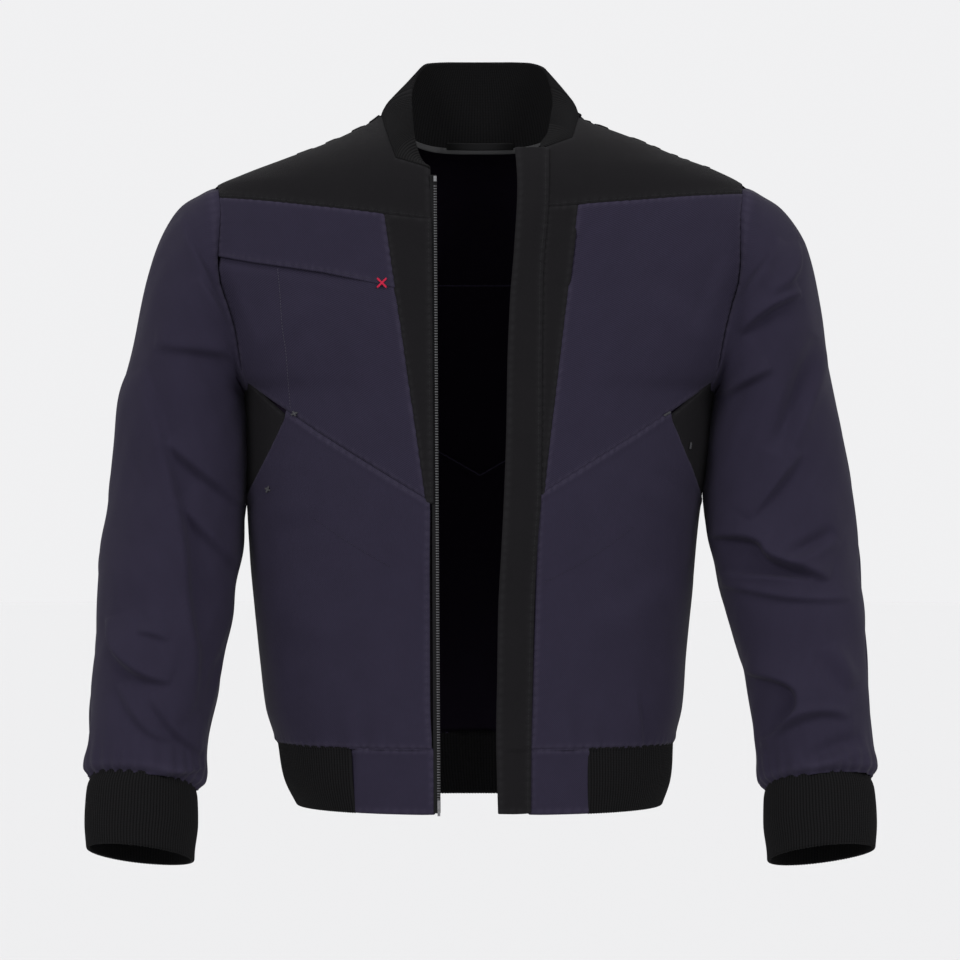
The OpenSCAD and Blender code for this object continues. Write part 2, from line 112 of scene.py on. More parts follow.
def through(x, xs, ys):
    # cubic through stations xs, ys; the slope at a station is the harmonic mean of its two sides' slopes
    xs, ys = np.asarray(xs, float), np.asarray(ys, float)
    shape = (-1,) + (1,) * (ys.ndim - 1)
    gap = np.diff(xs).reshape(shape)
    rise = np.diff(ys, axis=0) / gap
    product, total = rise[:-1] * rise[1:], rise[:-1] + rise[1:]
    middle = np.where(product > 0, 2 * product / np.where(total == 0, 1, total), 0)
    slope = np.concatenate([rise[:1], middle, rise[-1:]], 0)
    x = np.clip(np.asarray(x, float), xs[0], xs[-1])
    i = np.clip(np.searchsorted(xs, x) - 1, 0, len(xs) - 2)
    t = (x - xs[i]) / (xs[i + 1] - xs[i])
    h = gap[i].reshape(t.shape + (1,) * (ys.ndim - 1))
    t = t.reshape(t.shape + (1,) * (ys.ndim - 1))
    return ((1 + 2 * t) * (1 - t) ** 2 * ys[i] + t * (1 - t) ** 2 * h * slope[i]
            + t * t * (3 - 2 * t) * ys[i + 1] + t * t * (t - 1) * h * slope[i + 1])


def along(x, table):
    # the same cubic through a list of pairs
    table = np.asarray(table, float)
    return through(x, table[:, 0], table[:, 1])


def straight(x, table):
    # straight lines between the pairs of a table
    table = np.asarray(table, float)
    return np.interp(x, table[:, 0], table[:, 1])


def mixed(a, b, t):
    return a + (b - a) * t


def eased(t):
    # 0 to 1 with level ends: 3t^2 - 2t^3
    t = np.clip(t, 0, 1)
    return t * t * (3 - 2 * t)


def signedPower(v, e):
    return np.sign(v) * np.abs(v) ** e


# The smooth skin of the body: its horizontal sections are superellipses of this roundness.
body = {
    "roundness": 2.4,
    # height and half-width on the wearer's left and on the wearer's right
    "halfWidthLeft": [(-640, 177), (-614, 184), (-578, 188), (-545, 196), (-500, 200), (-450, 205),
                      (-400, 209),
                      (-352, 214), (-300, 220), (-250, 226), (-240, 228), (-225, 243), (-200, 262),
                      (-160, 280),
                      (-120, 286), (-80, 281), (-60, 274), (-40, 257), (-25, 229), (-12, 194), (2, 161),
                      (15.5, 126),
                      (22.5, 107), (29, 96), (34, 90)],
    "halfWidthRight": [(-640, 178), (-614, 189), (-578, 197), (-545, 208), (-500, 214), (-450, 219),
                       (-400, 224),
                       (-352, 226), (-300, 227), (-250, 228), (-240, 229), (-225, 243), (-200, 262),
                       (-160, 280),
                       (-120, 286), (-80, 280), (-60, 272), (-40, 256), (-30, 233), (-14, 191), (1.5, 150),
                       (12.5, 126),
                       (22, 107), (30, 96), (34, 90)],
    "frontDepth": [(-640, 131), (-70, 103), (-45, 100), (-28, 95), (-14, 86), (0, 72), (10, 57), (20, 39),
                   (30, 20), (36, 10)],
    "backDepth": [(-640, 112), (-578, 111), (-450, 108), (-350, 114), (-250, 121), (-160, 121), (-100, 113),
                  (-40, 94), (-14, 80), (0, 66), (10, 53), (20, 38), (30, 21), (36, 10)],
    "armholeEdge": [(-240, 227), (-217, 229), (-185, 234), (-161, 240), (-133, 248), (-110, 250), (-75, 250),
                    (-40, 254)],
    "ridgeLeft": [(96, 29), (107, 22.5), (126, 15.5), (161, 2), (194, -12), (229, -25), (257, -40)],
    "ridgeRight": [(96, 30), (107, 22), (126, 12.5), (150, 1.5), (191, -14), (233, -30), (256, -40)],
    "neckHalf": 96, "sideAngle": 95, "hemSeam": -578, "hemLow": -638, "backYokeSeam": -130,
}


def halfWidth(z, x):
    return np.where(x >= 0, along(z, body["halfWidthLeft"]), along(z, body["halfWidthRight"]))


def depthAt(z, back):
    return np.where(back, along(z, body["backDepth"]), along(z, body["frontDepth"]))


def skinNormal(p):
    # gradient of |x/a(z)|^n + |y/b(z)|^n, which is 1 all over the skin
    n = body["roundness"]
    x, y, z = p[..., 0], p[..., 1], p[..., 2]
    a, b = halfWidth(z, x), depthAt(z, y > 0)
    da = halfWidth(z + 0.5, x) - halfWidth(z - 0.5, x)
    db = depthAt(z + 0.5, y > 0) - depthAt(z - 0.5, y > 0)
    g = np.stack([signedPower(x / a, n - 1) / a, signedPower(y / b, n - 1) / b,
                  -(np.abs(x / a) ** n) * da / a - (np.abs(y / b) ** n) * db / b], -1)
    return g / np.maximum(np.linalg.norm(g, axis=-1, keepdims=True), 1e-12)


def smoothAt(x, z, back=False):
    # front or back point of the smooth skin at x and z: y = b (1 - |x/a|^n)^(1/n)
    x, z = np.broadcast_arrays(np.asarray(x, float), np.asarray(z, float))
    q = np.clip(np.abs(x) / halfWidth(z, x), 0, 1) ** body["roundness"]
    y = (1 - q) ** (1 / body["roundness"]) * depthAt(z, back) + 1e-6
    return np.stack([x, y if back else -y, z], -1)


def smoothAround(u, z, side=1):
    # point at angle u about Z, 0 in front and 180 behind; side -1 gives the wearer's right
    u, z = np.broadcast_arrays(np.asarray(u, float), np.asarray(z, float))
    s, c, e = np.sin(np.radians(u)) * side, np.cos(np.radians(u)), 2 / body["roundness"]
    return np.stack([signedPower(s, e) * halfWidth(z, s), -signedPower(c, e) * depthAt(z, c < 0), z], -1)


def angleAt(x, z):
    # angle about Z of the front skin at x, counted from the front
    share = np.clip(np.abs(x) / halfWidth(z, x), 0, 1)
    return np.degrees(np.arcsin(share ** (body["roundness"] / 2)))


# Folds: points of the line as x and z, width, height, sharpness, and 1 where it lies on the back. The cloth
# is raised on the left of the line's run; a sharpness above 0 makes a crease that drops across the line.
bodyFolds = [
    ([(-222, -205), (-150, -150)], 15, 2.0, 0, 0), ([(222, -200), (150, -140)], 15, 2.0, 0, 0),
    ([(-240, -120), (-210, -200)], 9, 1.6, 0, 0), ([(240, -110), (208, -195)], 9, 1.6, 0, 0),
    ([(-120, -590), (-135, -505)], 11, 1.5, 0, 0), ([(-180, -590), (-196, -470)], 12, 1.6, 0, 0),
    ([(-75, -590), (-80, -540)], 8, 1.0, 0, 0), ([(154, -592), (153, -560), (149, -524)], 6, 3.2, 1.2, 0),
    ([(175, -590), (186, -480)], 12, 1.6, 0, 0), ([(85, -590), (80, -525)], 9, 1.1, 0, 0),
    ([(205, -360), (140, -330)], 13, 1.4, 0, 0), ([(-208, -360), (-140, -345)], 13, 1.4, 0, 0),
    ([(207, -420), (110, -470)], 18, 1.5, 0, 0), ([(-212, -440), (-120, -480)], 18, 1.3, 0, 0),
    ([(-225, -225), (-160, -180), (-110, -150)], 18, 3.0, 0, 1),
    ([(225, -225), (160, -190), (105, -160)], 18, 3.0, 0, 1),
    ([(-215, -290), (-90, -350)], 20, 2.6, 0, 1), ([(215, -300), (85, -360)], 20, 2.6, 0, 1),
    ([(-60, -590), (-75, -440)], 16, 2.2, 0, 1), ([(45, -590), (60, -450)], 16, 2.2, 0, 1),
    ([(-150, -590), (-165, -470)], 14, 2.0, 0, 1), ([(140, -590), (160, -480)], 14, 2.0, 0, 1),
    ([(0, -590), (-8, -500)], 12, 1.6, 0, 1),
]


def rounded(points):
    # Chaikin's corner cutting, twice: every segment keeps its points at 1/4 and 3/4, the ends stay
    points = np.array(points, float)
    for _ in range(2):
        cut = np.stack([points[:-1] * 0.75 + points[1:] * 0.25, points[:-1] * 0.25 + points[1:] * 0.75], 1)
        points = np.concatenate([points[:1], cut.reshape(-1, 2), points[-1:]])
    return points


def foldHeight(x, z, back, folds):
    # soft fold: exp(-d^2/w^2) with a shallower valley beside it; crease: exp(-d/w) on the left of the line
    # and a dip on its right, joined by tanh(d/s); both fade to nothing at the line's ends
    total = np.zeros(np.broadcast(x, z).shape)
    for points, width, height, sharp, onBack in folds:
        points = rounded(points)
        steps = np.diff(points, axis=0)
        lengths = np.linalg.norm(steps, axis=1)
        starts = np.concatenate([[0], np.cumsum(lengths)])
        nearest, signed, place = np.full(total.shape, 1e9), np.zeros(total.shape), np.zeros(total.shape)
        for (px, pz), (dx, dz), length, start in zip(points[:-1], steps, lengths, starts[:-1]):
            t = np.clip(((x - px) * dx + (z - pz) * dz) / length ** 2, 0, 1)
            far = np.hypot(x - px - t * dx, z - pz - t * dz)
            left = np.sign((z - pz) * dx - (x - px) * dz)
            closer = far < nearest
            nearest = np.where(closer, far, nearest)
            signed = np.where(closer, far * left, signed)
            place = np.where(closer, (start + t * length) / starts[-1], place)
        fade = np.sin(np.pi * place) ** 0.6
        if sharp > 0:
            up = 0.5 + 0.5 * np.tanh(signed / sharp)
            dip = np.exp(-np.maximum(-signed, 0) / (0.7 * width))
            shape = up * np.exp(-np.maximum(signed, 0) / width) - 0.45 * (1 - up) * dip
        else:
            valley = (signed + 1.35 * width) / (0.8 * width)
            shape = np.exp(-(signed / width) ** 2) - 0.5 * np.exp(-valley ** 2)
        total = total + height * fade * shape * np.where(back, onBack, 1 - onBack)
    return total


def softWaves(x, z, seed, height, shortest=60, longest=190):
    # eight low sine waves in random directions, added up
    draw = np.random.default_rng(seed)
    total = 0
    for _ in range(8):
        turn, length = draw.uniform(0, np.pi), draw.uniform(shortest, longest)
        shift = draw.uniform(0, 2 * np.pi)
        total = total + np.sin((x * math.cos(turn) + z * math.sin(turn)) * 2 * np.pi / length + shift)
    return total * height / 8


# How the body's cloth lies: waves, gathers over the hem seam, less of both at the sides and under the neck.
drape = {"seed": 11, "waves": 2.4, "backShare": 1.3, "gather": 0.7, "gatherPitch": 5.3, "gatherReach": 26,
         "gatherLift": 1.0, "bandShare": 0.5, "sideShare": 0.35, "sideReach": 30, "calmTop": 15,
         "calmReach": 60}


def bodyRelief(p):
    # how far the cloth stands off the smooth skin: folds, waves, and gathers above the hem seam
    x, z, back = p[..., 0], p[..., 2], p[..., 1] > 0
    cloth = z > body["hemSeam"] - 1
    waves = softWaves(x, z, drape["seed"], drape["waves"]) * np.where(back, drape["backShare"], 1)
    relief = foldHeight(x, z, back, bodyFolds) + waves
    gather = np.exp(-np.abs(z - body["hemSeam"]) / drape["gatherReach"])
    relief = relief * np.where(cloth, 1, gather * drape["bandShare"])
    ripple = drape["gather"] * np.sin(x / drape["gatherPitch"] + 1.5 * np.sin(x / 17))
    relief = relief + gather * cloth * (ripple + drape["gatherLift"])
    calm = drape["sideShare"] + (1 - drape["sideShare"]) * eased(np.abs(p[..., 1]) / drape["sideReach"])
    return relief * calm * eased((-z - drape["calmTop"]) / drape["calmReach"])


def onSkin(p, stand=0.0):
    # points of the smooth skin moved out by the relief and by stand
    return p + skinNormal(p) * (bodyRelief(p) + stand)[..., None]


def frontPoint(x, z, stand=0.0):
    return onSkin(smoothAt(x, z), stand)


def gridNormals(p, wrap=False):
    # cross product of the grid's two directions
    across = np.roll(p, -1, 0) - np.roll(p, 1, 0) if wrap else np.gradient(p, axis=0)
    n = np.cross(across, np.gradient(p, axis=1))
    return n / np.maximum(np.linalg.norm(n, axis=-1, keepdims=True), 1e-12)


def arcs(p, axis):
    # distance run along one direction of the grid
    step = np.linalg.norm(np.diff(p, axis=axis), axis=-1)
    return np.concatenate([np.zeros_like(np.take(step, [0], axis)), np.cumsum(step, axis)], axis)


def quadsOf(ids):
    return np.stack([ids[:-1, :-1], ids[1:, :-1], ids[1:, 1:], ids[:-1, 1:]], -1).reshape(-1, 4)


def makeMesh(name, points, faces, slots, paints, uv=None, wear=None):
    mesh = bpy.data.meshes.new(name)
    mesh.vertices.add(len(points))
    mesh.vertices.foreach_set("co", np.ascontiguousarray(points * mm, np.float32).ravel())
    mesh.loops.add(faces.size)
    mesh.loops.foreach_set("vertex_index", np.ascontiguousarray(faces, np.int32).ravel())
    mesh.polygons.add(len(faces))
    mesh.polygons.foreach_set("loop_start", np.arange(0, faces.size, faces.shape[1], dtype=np.int32))
    mesh.polygons.foreach_set("loop_total", np.full(len(faces), faces.shape[1], np.int32))
    for paint in paints:
        mesh.materials.append(paint)
    mesh.polygons.foreach_set("material_index", np.ascontiguousarray(slots, np.int32))
    mesh.polygons.foreach_set("use_smooth", np.ones(len(faces), bool))
    if uv is not None:
        layer = mesh.uv_layers.new(name="cloth")
        layer.data.foreach_set("uv", np.ascontiguousarray(uv[faces.ravel()], np.float32).ravel())
    # per-point attribute: rubbed wear on woven cloth, and on rib knit the rib height that its finish paints
    # as shade in the furrows
    if wear is not None:
        layer = mesh.attributes.new("wear", "FLOAT", "POINT")
        layer.data.foreach_set("value", np.ascontiguousarray(wear, np.float32))
    mesh.update()
    mesh.validate()
    piece = bpy.data.objects.new(name, mesh)
    bpy.context.scene.collection.objects.link(piece)
    return piece


def clothShell(name, p, thickness, paints, wrap=False, about=None, wear=None, rimRows=3, lining=None):
    # closed sheet: p is the outer face, a copy or the lining lies inside it, half rounds join their edges
    n, m = p.shape[:2]
    normal = gridNormals(p, wrap)
    if about is None:
        about = p * np.array([0, 0, 1.0])
    outward = 1 if (normal * (p - about)).sum() > 0 else -1
    normal = normal * outward
    if lining is None:
        lining = p - normal * thickness
    outer, inner = p.reshape(-1, 3), lining.reshape(-1, 3)
    middle, reach = (outer + inner) / 2, (outer - inner) / 2
    depth = np.linalg.norm(reach, axis=-1, keepdims=True)
    facing = reach / np.maximum(depth, 1e-9)
    number = np.arange(n * m).reshape(n, m)
    closed = np.concatenate([number, number[:1]], 0) if wrap else number
    faces = [quadsOf(closed), quadsOf(closed + n * m)[:, ::-1]]
    slots = [np.zeros(len(faces[0])), np.ones(len(faces[1]))]
    uv = np.stack([arcs(p, 0), arcs(p, 1)], -1).reshape(-1, 2) / 10
    worn = np.zeros(n * m) if wear is None else wear.reshape(-1)
    points, uvs, wearsAndFurrowShades = [outer, inner], [uv, uv], [worn, worn]
    if wrap:
        loops = [(number[:, 0], number[:, 1]), (number[::-1, -1], number[::-1, -2])]
    else:
        line = np.concatenate([number[:-1, 0], number[-1, :-1], number[:0:-1, -1], number[0, :0:-1]])
        i, j = np.divmod(line, m)
        loops = [(line, np.clip(i, 1, n - 2) * m + np.clip(j, 1, m - 2))]
    for line, inside in loops:
        away = middle[line] - middle[inside]
        away -= facing[line] * (away * facing[line]).sum(-1, keepdims=True)
        away /= np.maximum(np.linalg.norm(away, axis=-1, keepdims=True), 1e-9)
        start = sum(len(part) for part in points)
        turns = np.linspace(0, np.pi, rimRows + 2)[1:-1]
        for turn in turns:
            around = facing[line] * math.cos(turn) + away * math.sin(turn)
            points.append(middle[line] + around * depth[line])
            uvs.append(uv[line])
            wearsAndFurrowShades.append(worn[line])
        rim = np.arange(rimRows * len(line)).reshape(rimRows, -1) + start
        ids = np.concatenate([[line], rim, [line + n * m]])
        faces.append(quadsOf(np.concatenate([ids, ids[:, :1]], 1)))
        slots.append(np.zeros(len(faces[-1])))
    allFaces = np.concatenate(faces, 0)
    if outward < 0:
        allFaces = allFaces[:, ::-1]
    return makeMesh(name, np.concatenate(points, 0), allFaces, np.concatenate(slots), paints,
                    np.concatenate(uvs, 0), np.concatenate(wearsAndFurrowShades, 0))


def asCloth(piece, p, wrap=False):
    q = np.concatenate([p, p[:1]], 0) if wrap else p
    across, up = arcs(q, 0)[-1].max() * mm, arcs(q, 1)[:, -1].max() * mm
    side = np.cross(q[1:, :-1] - q[:-1, :-1], q[:-1, 1:] - q[:-1, :-1])
    area = float(np.linalg.norm(side, axis=-1).sum()) * mm * mm
    flat = (max(across, 0.0101), max(up, 0.0101))
    area = min(max(area, 0.31 * flat[0] * flat[1]), flat[0] * flat[1])
    print("cloth", piece.name, [round(v, 3) for v in flat], round(area, 4))


def placed(piece, nodes, riding, cut, wrap=False):
    # what a cloth piece says: the nodes it replaces, the body it rides on and its cut
    if nodes:
        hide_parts(*nodes)
    if riding:
        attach(piece, riding)
    asCloth(piece, cut, wrap)


def edgeSteps(length, step=2.6):
    # shares of a length: fine steps near both ends, even ones between
    near = np.array([0, 0.5, 1.1, 1.9, 3.0, 4.5])
    middle = np.linspace(6.5, length - 6.5, max(int((length - 13) / step), 3))
    return np.concatenate([near, middle, length - near[::-1]]) / length


def gridOf(width, height, step=2.6):
    return np.meshgrid(edgeSteps(width, step), edgeSteps(height, step), indexing="ij")


# One entry per finish: colour, lighter colour of worn places, thread width in cm, contrast between threads,
# roughness, sheen, bump strength and slow colour change.
finishes = {
    "navyTwill": {"color": (0.0150, 0.0125, 0.0245), "worn": (0.034, 0.029, 0.049), "thread": 0.13,
                  "contrast": 0.34, "roughness": 0.82, "sheen": 0.02, "bump": 0.35, "mottle": 0.16},
    "blackTwill": {"color": (0.0051, 0.0047, 0.0055), "worn": (0.014, 0.0137, 0.015), "thread": 0.11,
                   "contrast": 0.30, "roughness": 0.78, "sheen": 0.01, "bump": 0.35, "mottle": 0.14},
    # innerCloth: the black lining, its colour set darker still as painted shade of the jacket's inside
    "innerCloth": {"color": (0.0034, 0.0018, 0.0055), "worn": (0.005, 0.004, 0.006), "thread": 0.09,
                   "contrast": 0.25, "roughness": 0.92, "sheen": 0.0, "bump": 0.2, "mottle": 0.15},
    "zipCloth": {"color": (0.0045, 0.0045, 0.005), "worn": (0.02, 0.02, 0.02), "thread": 0.07,
                 "contrast": 0.45, "roughness": 0.7, "sheen": 0.05, "bump": 0.4, "mottle": 0.08},
}


def addNodes(paint):
    # shortcuts for adding and joining nodes of one material
    paint.use_nodes = True
    tree = paint.node_tree

    def add(kind, **values):
        node = tree.nodes.new(kind)
        for key, value in values.items():
            if key.startswith("in_"):
                node.inputs[key[3:].replace("_", " ")].default_value = value
            elif key[2:].isdigit():
                node.inputs[int(key[2:])].default_value = value
            else:
                setattr(node, key, value)
        return node

    return tree.nodes["Principled BSDF"], add, tree.links.new


def ramp(add, stops):
    node = add("ShaderNodeValToRGB")
    node.color_ramp.elements[0].position, node.color_ramp.elements[0].color = stops[0][0], (*stops[0][1], 1)
    node.color_ramp.elements[1].position, node.color_ramp.elements[1].color = stops[-1][0], (*stops[-1][1], 1)
    for place, color in stops[1:-1]:
        node.color_ramp.elements.new(place).color = (*color, 1)
    return node


def scaled(color, share):
    return tuple(c * share for c in color)


def makeTwill(name):
    # diagonal weave on the cloth's own map, with thread-to-thread and slow colour changes and worn edges
    s = finishes[name]
    paint = bpy.data.materials.new(name)
    shader, add, join = addNodes(paint)
    place = add("ShaderNodeUVMap", uv_map="cloth")
    weave = add("ShaderNodeTexWave", wave_type="BANDS", bands_direction="DIAGONAL", wave_profile="SIN",
                in_Scale=0.628 / s["thread"] / 1.414, in_Distortion=0.5, in_Detail=1.0, in_Detail_Scale=6.0)
    slub = add("ShaderNodeTexNoise", in_Scale=9.0, in_Detail=4.0, in_Roughness=0.65)
    slow = add("ShaderNodeTexNoise", in_Scale=0.35, in_Detail=3.0)
    stretch = add("ShaderNodeMapping", vector_type="POINT")
    stretch.inputs["Scale"].default_value = (1.0, 0.12, 1.0)
    join(place.outputs[0], weave.inputs["Vector"])
    join(place.outputs[0], stretch.inputs["Vector"])
    join(stretch.outputs[0], slub.inputs["Vector"])
    join(place.outputs[0], slow.inputs["Vector"])
    tone = add("ShaderNodeMath", operation="MULTIPLY_ADD", at1=s["contrast"])
    join(weave.outputs["Fac"], tone.inputs[0])
    slubTone = add("ShaderNodeMath", operation="MULTIPLY_ADD", at1=s["mottle"] * 2)
    join(slub.outputs["Fac"], slubTone.inputs[0])
    slowTone = add("ShaderNodeMath", operation="MULTIPLY", at1=s["mottle"] * 1.2)
    join(slow.outputs["Fac"], slowTone.inputs[0])
    join(slowTone.outputs[0], slubTone.inputs[2])
    join(slubTone.outputs[0], tone.inputs[2])
    top = s["contrast"] + s["mottle"] * 3.2
    colors = ramp(add, [(0.0, scaled(s["color"], 0.62)), (0.55 * top, s["color"]),
                        (min(top, 1.0), scaled(s["color"], 1.5))])
    join(tone.outputs[0], colors.inputs["Fac"])
    worn = add("ShaderNodeAttribute", attribute_name="wear")
    rub = add("ShaderNodeTexNoise", in_Scale=2.2, in_Detail=5.0, in_Roughness=0.7)
    join(place.outputs[0], rub.inputs["Vector"])
    amount = add("ShaderNodeMath", operation="MULTIPLY", use_clamp=True)
    join(worn.outputs["Fac"], amount.inputs[0])
    join(rub.outputs["Fac"], amount.inputs[1])
    blend = add("ShaderNodeMix", data_type="RGBA")
    factor, first, second = blend.inputs[0], blend.inputs[6], blend.inputs[7]
    join(amount.outputs[0], factor)
    join(colors.outputs["Color"], first)
    second.default_value = (*s["worn"], 1)
    join(blend.outputs[2], shader.inputs["Base Color"])
    rough = add("ShaderNodeMapRange", in_To_Min=s["roughness"] - 0.08,
                in_To_Max=min(s["roughness"] + 0.1, 1.0))
    join(slub.outputs["Fac"], rough.inputs["Value"])
    join(rough.outputs["Result"], shader.inputs["Roughness"])
    height = add("ShaderNodeMath", operation="MULTIPLY_ADD", at1=0.35)
    join(slub.outputs["Fac"], height.inputs[0])
    join(weave.outputs["Fac"], height.inputs[2])
    bump = add("ShaderNodeBump", in_Strength=s["bump"], in_Distance=0.0004)
    join(height.outputs[0], bump.inputs["Height"])
    join(bump.outputs["Normal"], shader.inputs["Normal"])
    shader.inputs["Sheen Weight"].default_value = s["sheen"]
    shader.inputs["Sheen Roughness"].default_value = 0.5
    shader.inputs["Specular IOR Level"].default_value = 0.07
    return paint


# colour of the knit; deep is the furrow colour, painted shade between the ribs; loop is the length of one
# loop
knitLook = {"color": (0.0034, 0.0033, 0.0036), "deep": (0.0006, 0.0006, 0.0007), "loop": 0.16}


def makeRibKnit():
    # rows of loops along each rib from the piece's own map, with painted shade in the furrows between the
    # ribs and a lighter colour on the rib tops, read from the rib height the piece carries
    paint = bpy.data.materials.new("ribKnit")
    shader, add, join = addNodes(paint)
    place = add("ShaderNodeUVMap", uv_map="cloth")
    furrow = add("ShaderNodeAttribute", attribute_name="wear")
    loops = add("ShaderNodeTexWave", wave_type="BANDS", bands_direction="Y", wave_profile="SIN",
                in_Scale=0.314 / knitLook["loop"], in_Distortion=1.2, in_Detail=2.0, in_Detail_Scale=5.0)
    fluff = add("ShaderNodeTexNoise", in_Scale=14.0, in_Detail=4.0, in_Roughness=0.7)
    join(place.outputs[0], loops.inputs["Vector"])
    join(place.outputs[0], fluff.inputs["Vector"])
    tone = add("ShaderNodeMath", operation="MULTIPLY_ADD", at1=0.45)
    join(loops.outputs["Fac"], tone.inputs[0])
    soft = add("ShaderNodeMath", operation="MULTIPLY_ADD", at1=0.4, at2=-0.2)
    join(fluff.outputs["Fac"], soft.inputs[0])
    join(soft.outputs[0], tone.inputs[2])
    # the rib height raises the tone: painted shade in the furrows, lighter colour on the rib tops
    lit = add("ShaderNodeMath", operation="ADD", use_clamp=True)
    rise = add("ShaderNodeMath", operation="MULTIPLY", at1=0.7)
    join(furrow.outputs["Fac"], rise.inputs[0])
    join(rise.outputs[0], lit.inputs[0])
    join(tone.outputs[0], lit.inputs[1])
    colors = ramp(add, [(0.0, knitLook["deep"]), (0.6, knitLook["color"]),
                        (1.0, scaled(knitLook["color"], 1.7))])
    join(lit.outputs[0], colors.inputs["Fac"])
    join(colors.outputs["Color"], shader.inputs["Base Color"])
    bump = add("ShaderNodeBump", in_Strength=0.5, in_Distance=0.0005)
    join(tone.outputs[0], bump.inputs["Height"])
    join(bump.outputs["Normal"], shader.inputs["Normal"])
    shader.inputs["Roughness"].default_value = 0.9
    shader.inputs["Sheen Weight"].default_value = 0.01
    shader.inputs["Sheen Roughness"].default_value = 0.6
    shader.inputs["Specular IOR Level"].default_value = 0.05
    return paint


def makeThread(name, color, twist=900.0):
    # fine turns of a sewing thread, with a painted highlight on the tops of the plies and painted shade
    # between them
    paint = bpy.data.materials.new(name)
    shader, add, join = addNodes(paint)
    place = add("ShaderNodeTexCoord")
    turns = add("ShaderNodeTexWave", wave_type="BANDS", bands_direction="DIAGONAL", in_Scale=twist,
                in_Distortion=0.6, in_Detail=1.0)
    fuzz = add("ShaderNodeTexNoise", in_Scale=2600.0, in_Detail=2.0)
    join(place.outputs["Object"], turns.inputs["Vector"])
    join(place.outputs["Object"], fuzz.inputs["Vector"])
    both = add("ShaderNodeMath", operation="MULTIPLY_ADD", at1=0.5)
    join(fuzz.outputs["Fac"], both.inputs[0])
    half = add("ShaderNodeMath", operation="MULTIPLY", at1=0.5)
    join(turns.outputs["Fac"], half.inputs[0])
    join(half.outputs[0], both.inputs[2])
    colors = ramp(add, [(0.1, scaled(color, 0.5)), (0.9, scaled(color, 1.2))])
    join(both.outputs[0], colors.inputs["Fac"])
    join(colors.outputs["Color"], shader.inputs["Base Color"])
    bump = add("ShaderNodeBump", in_Strength=0.4, in_Distance=0.0001)
    join(turns.outputs["Fac"], bump.inputs["Height"])
    join(bump.outputs["Normal"], shader.inputs["Normal"])
    shader.inputs["Roughness"].default_value = 0.6
    shader.inputs["Specular IOR Level"].default_value = 0.15
    return paint


def makeMetal(name, color, roughness, metallic):
    # cast metal or coloured plastic of the zip, with rubbed spots and a fine grain
    paint = bpy.data.materials.new(name)
    shader, add, join = addNodes(paint)
    place = add("ShaderNodeTexCoord")
    spots = add("ShaderNodeTexNoise", in_Scale=420.0, in_Detail=5.0, in_Roughness=0.65)
    grain = add("ShaderNodeTexNoise", in_Scale=2400.0, in_Detail=2.0)
    join(place.outputs["Object"], spots.inputs["Vector"])
    join(place.outputs["Object"], grain.inputs["Vector"])
    colors = ramp(add, [(0.3, scaled(color, 0.55)), (0.7, color)])
    join(spots.outputs["Fac"], colors.inputs["Fac"])
    join(colors.outputs["Color"], shader.inputs["Base Color"])
    rough = add("ShaderNodeMapRange", in_To_Min=roughness - 0.1, in_To_Max=roughness + 0.15)
    join(spots.outputs["Fac"], rough.inputs["Value"])
    join(rough.outputs["Result"], shader.inputs["Roughness"])
    bump = add("ShaderNodeBump", in_Strength=0.25, in_Distance=0.0001)
    join(grain.outputs["Fac"], bump.inputs["Height"])
    join(bump.outputs["Normal"], shader.inputs["Normal"])
    shader.inputs["Metallic"].default_value = metallic
    return paint


navyTwill = makeTwill("navyTwill")
blackTwill = makeTwill("blackTwill")
innerCloth = makeTwill("innerCloth")
zipCloth = makeTwill("zipCloth")
ribKnit = makeRibKnit()
navyThread = makeThread("navyThread", (0.022, 0.019, 0.034))
blackThread = makeThread("blackThread", (0.010, 0.010, 0.011))
paleThread = makeThread("paleThread", (0.055, 0.055, 0.060))
faintThread = makeThread("faintThread", (0.050, 0.046, 0.064))
redThread = makeThread("redThread", (0.50, 0.014, 0.052))
paleCloth = makeThread("paleCloth", (0.035, 0.035, 0.037), 1400.0)
toothPlastic = makeMetal("toothPlastic", (0.075, 0.075, 0.08), 0.45, 0.3)
zipMetal = makeMetal("zipMetal", (0.22, 0.22, 0.23), 0.38, 0.85)
print("finishes made")

# Lines to be sewn on the torso: thread, points along the line, pitch, length and radius of one stitch.
sewn = []


def lineBeside(p, edge, d):
    # points of the grid at distance d from one of its edges, measured over the cloth
    upright = p.transpose(1, 0, 2)
    turned = {"left": p, "right": p[::-1], "low": upright, "high": upright[::-1]}[edge]
    run = arcs(turned, 0)
    at = (run < d).sum(0).clip(1, len(run) - 1)
    column = np.arange(run.shape[1])
    low, high = run[at - 1, column], run[at, column]
    share = (d - low) / np.maximum(high - low, 1e-9)
    return mixed(turned[at - 1, column], turned[at, column], share[:, None])


# Reach of each seam shape from the cloth's edge, and lengths of the puckers' two waves.
seamShape = {"tuck": 1.7, "flat": 3, "allowance": 4.0, "dent": 0.32, "dentReach": 0.9, "longPucker": 8.7,
             "shortPucker": 5.3, "puckerReach": 7.5, "wornAt": 2.2, "wornReach": 2.4}


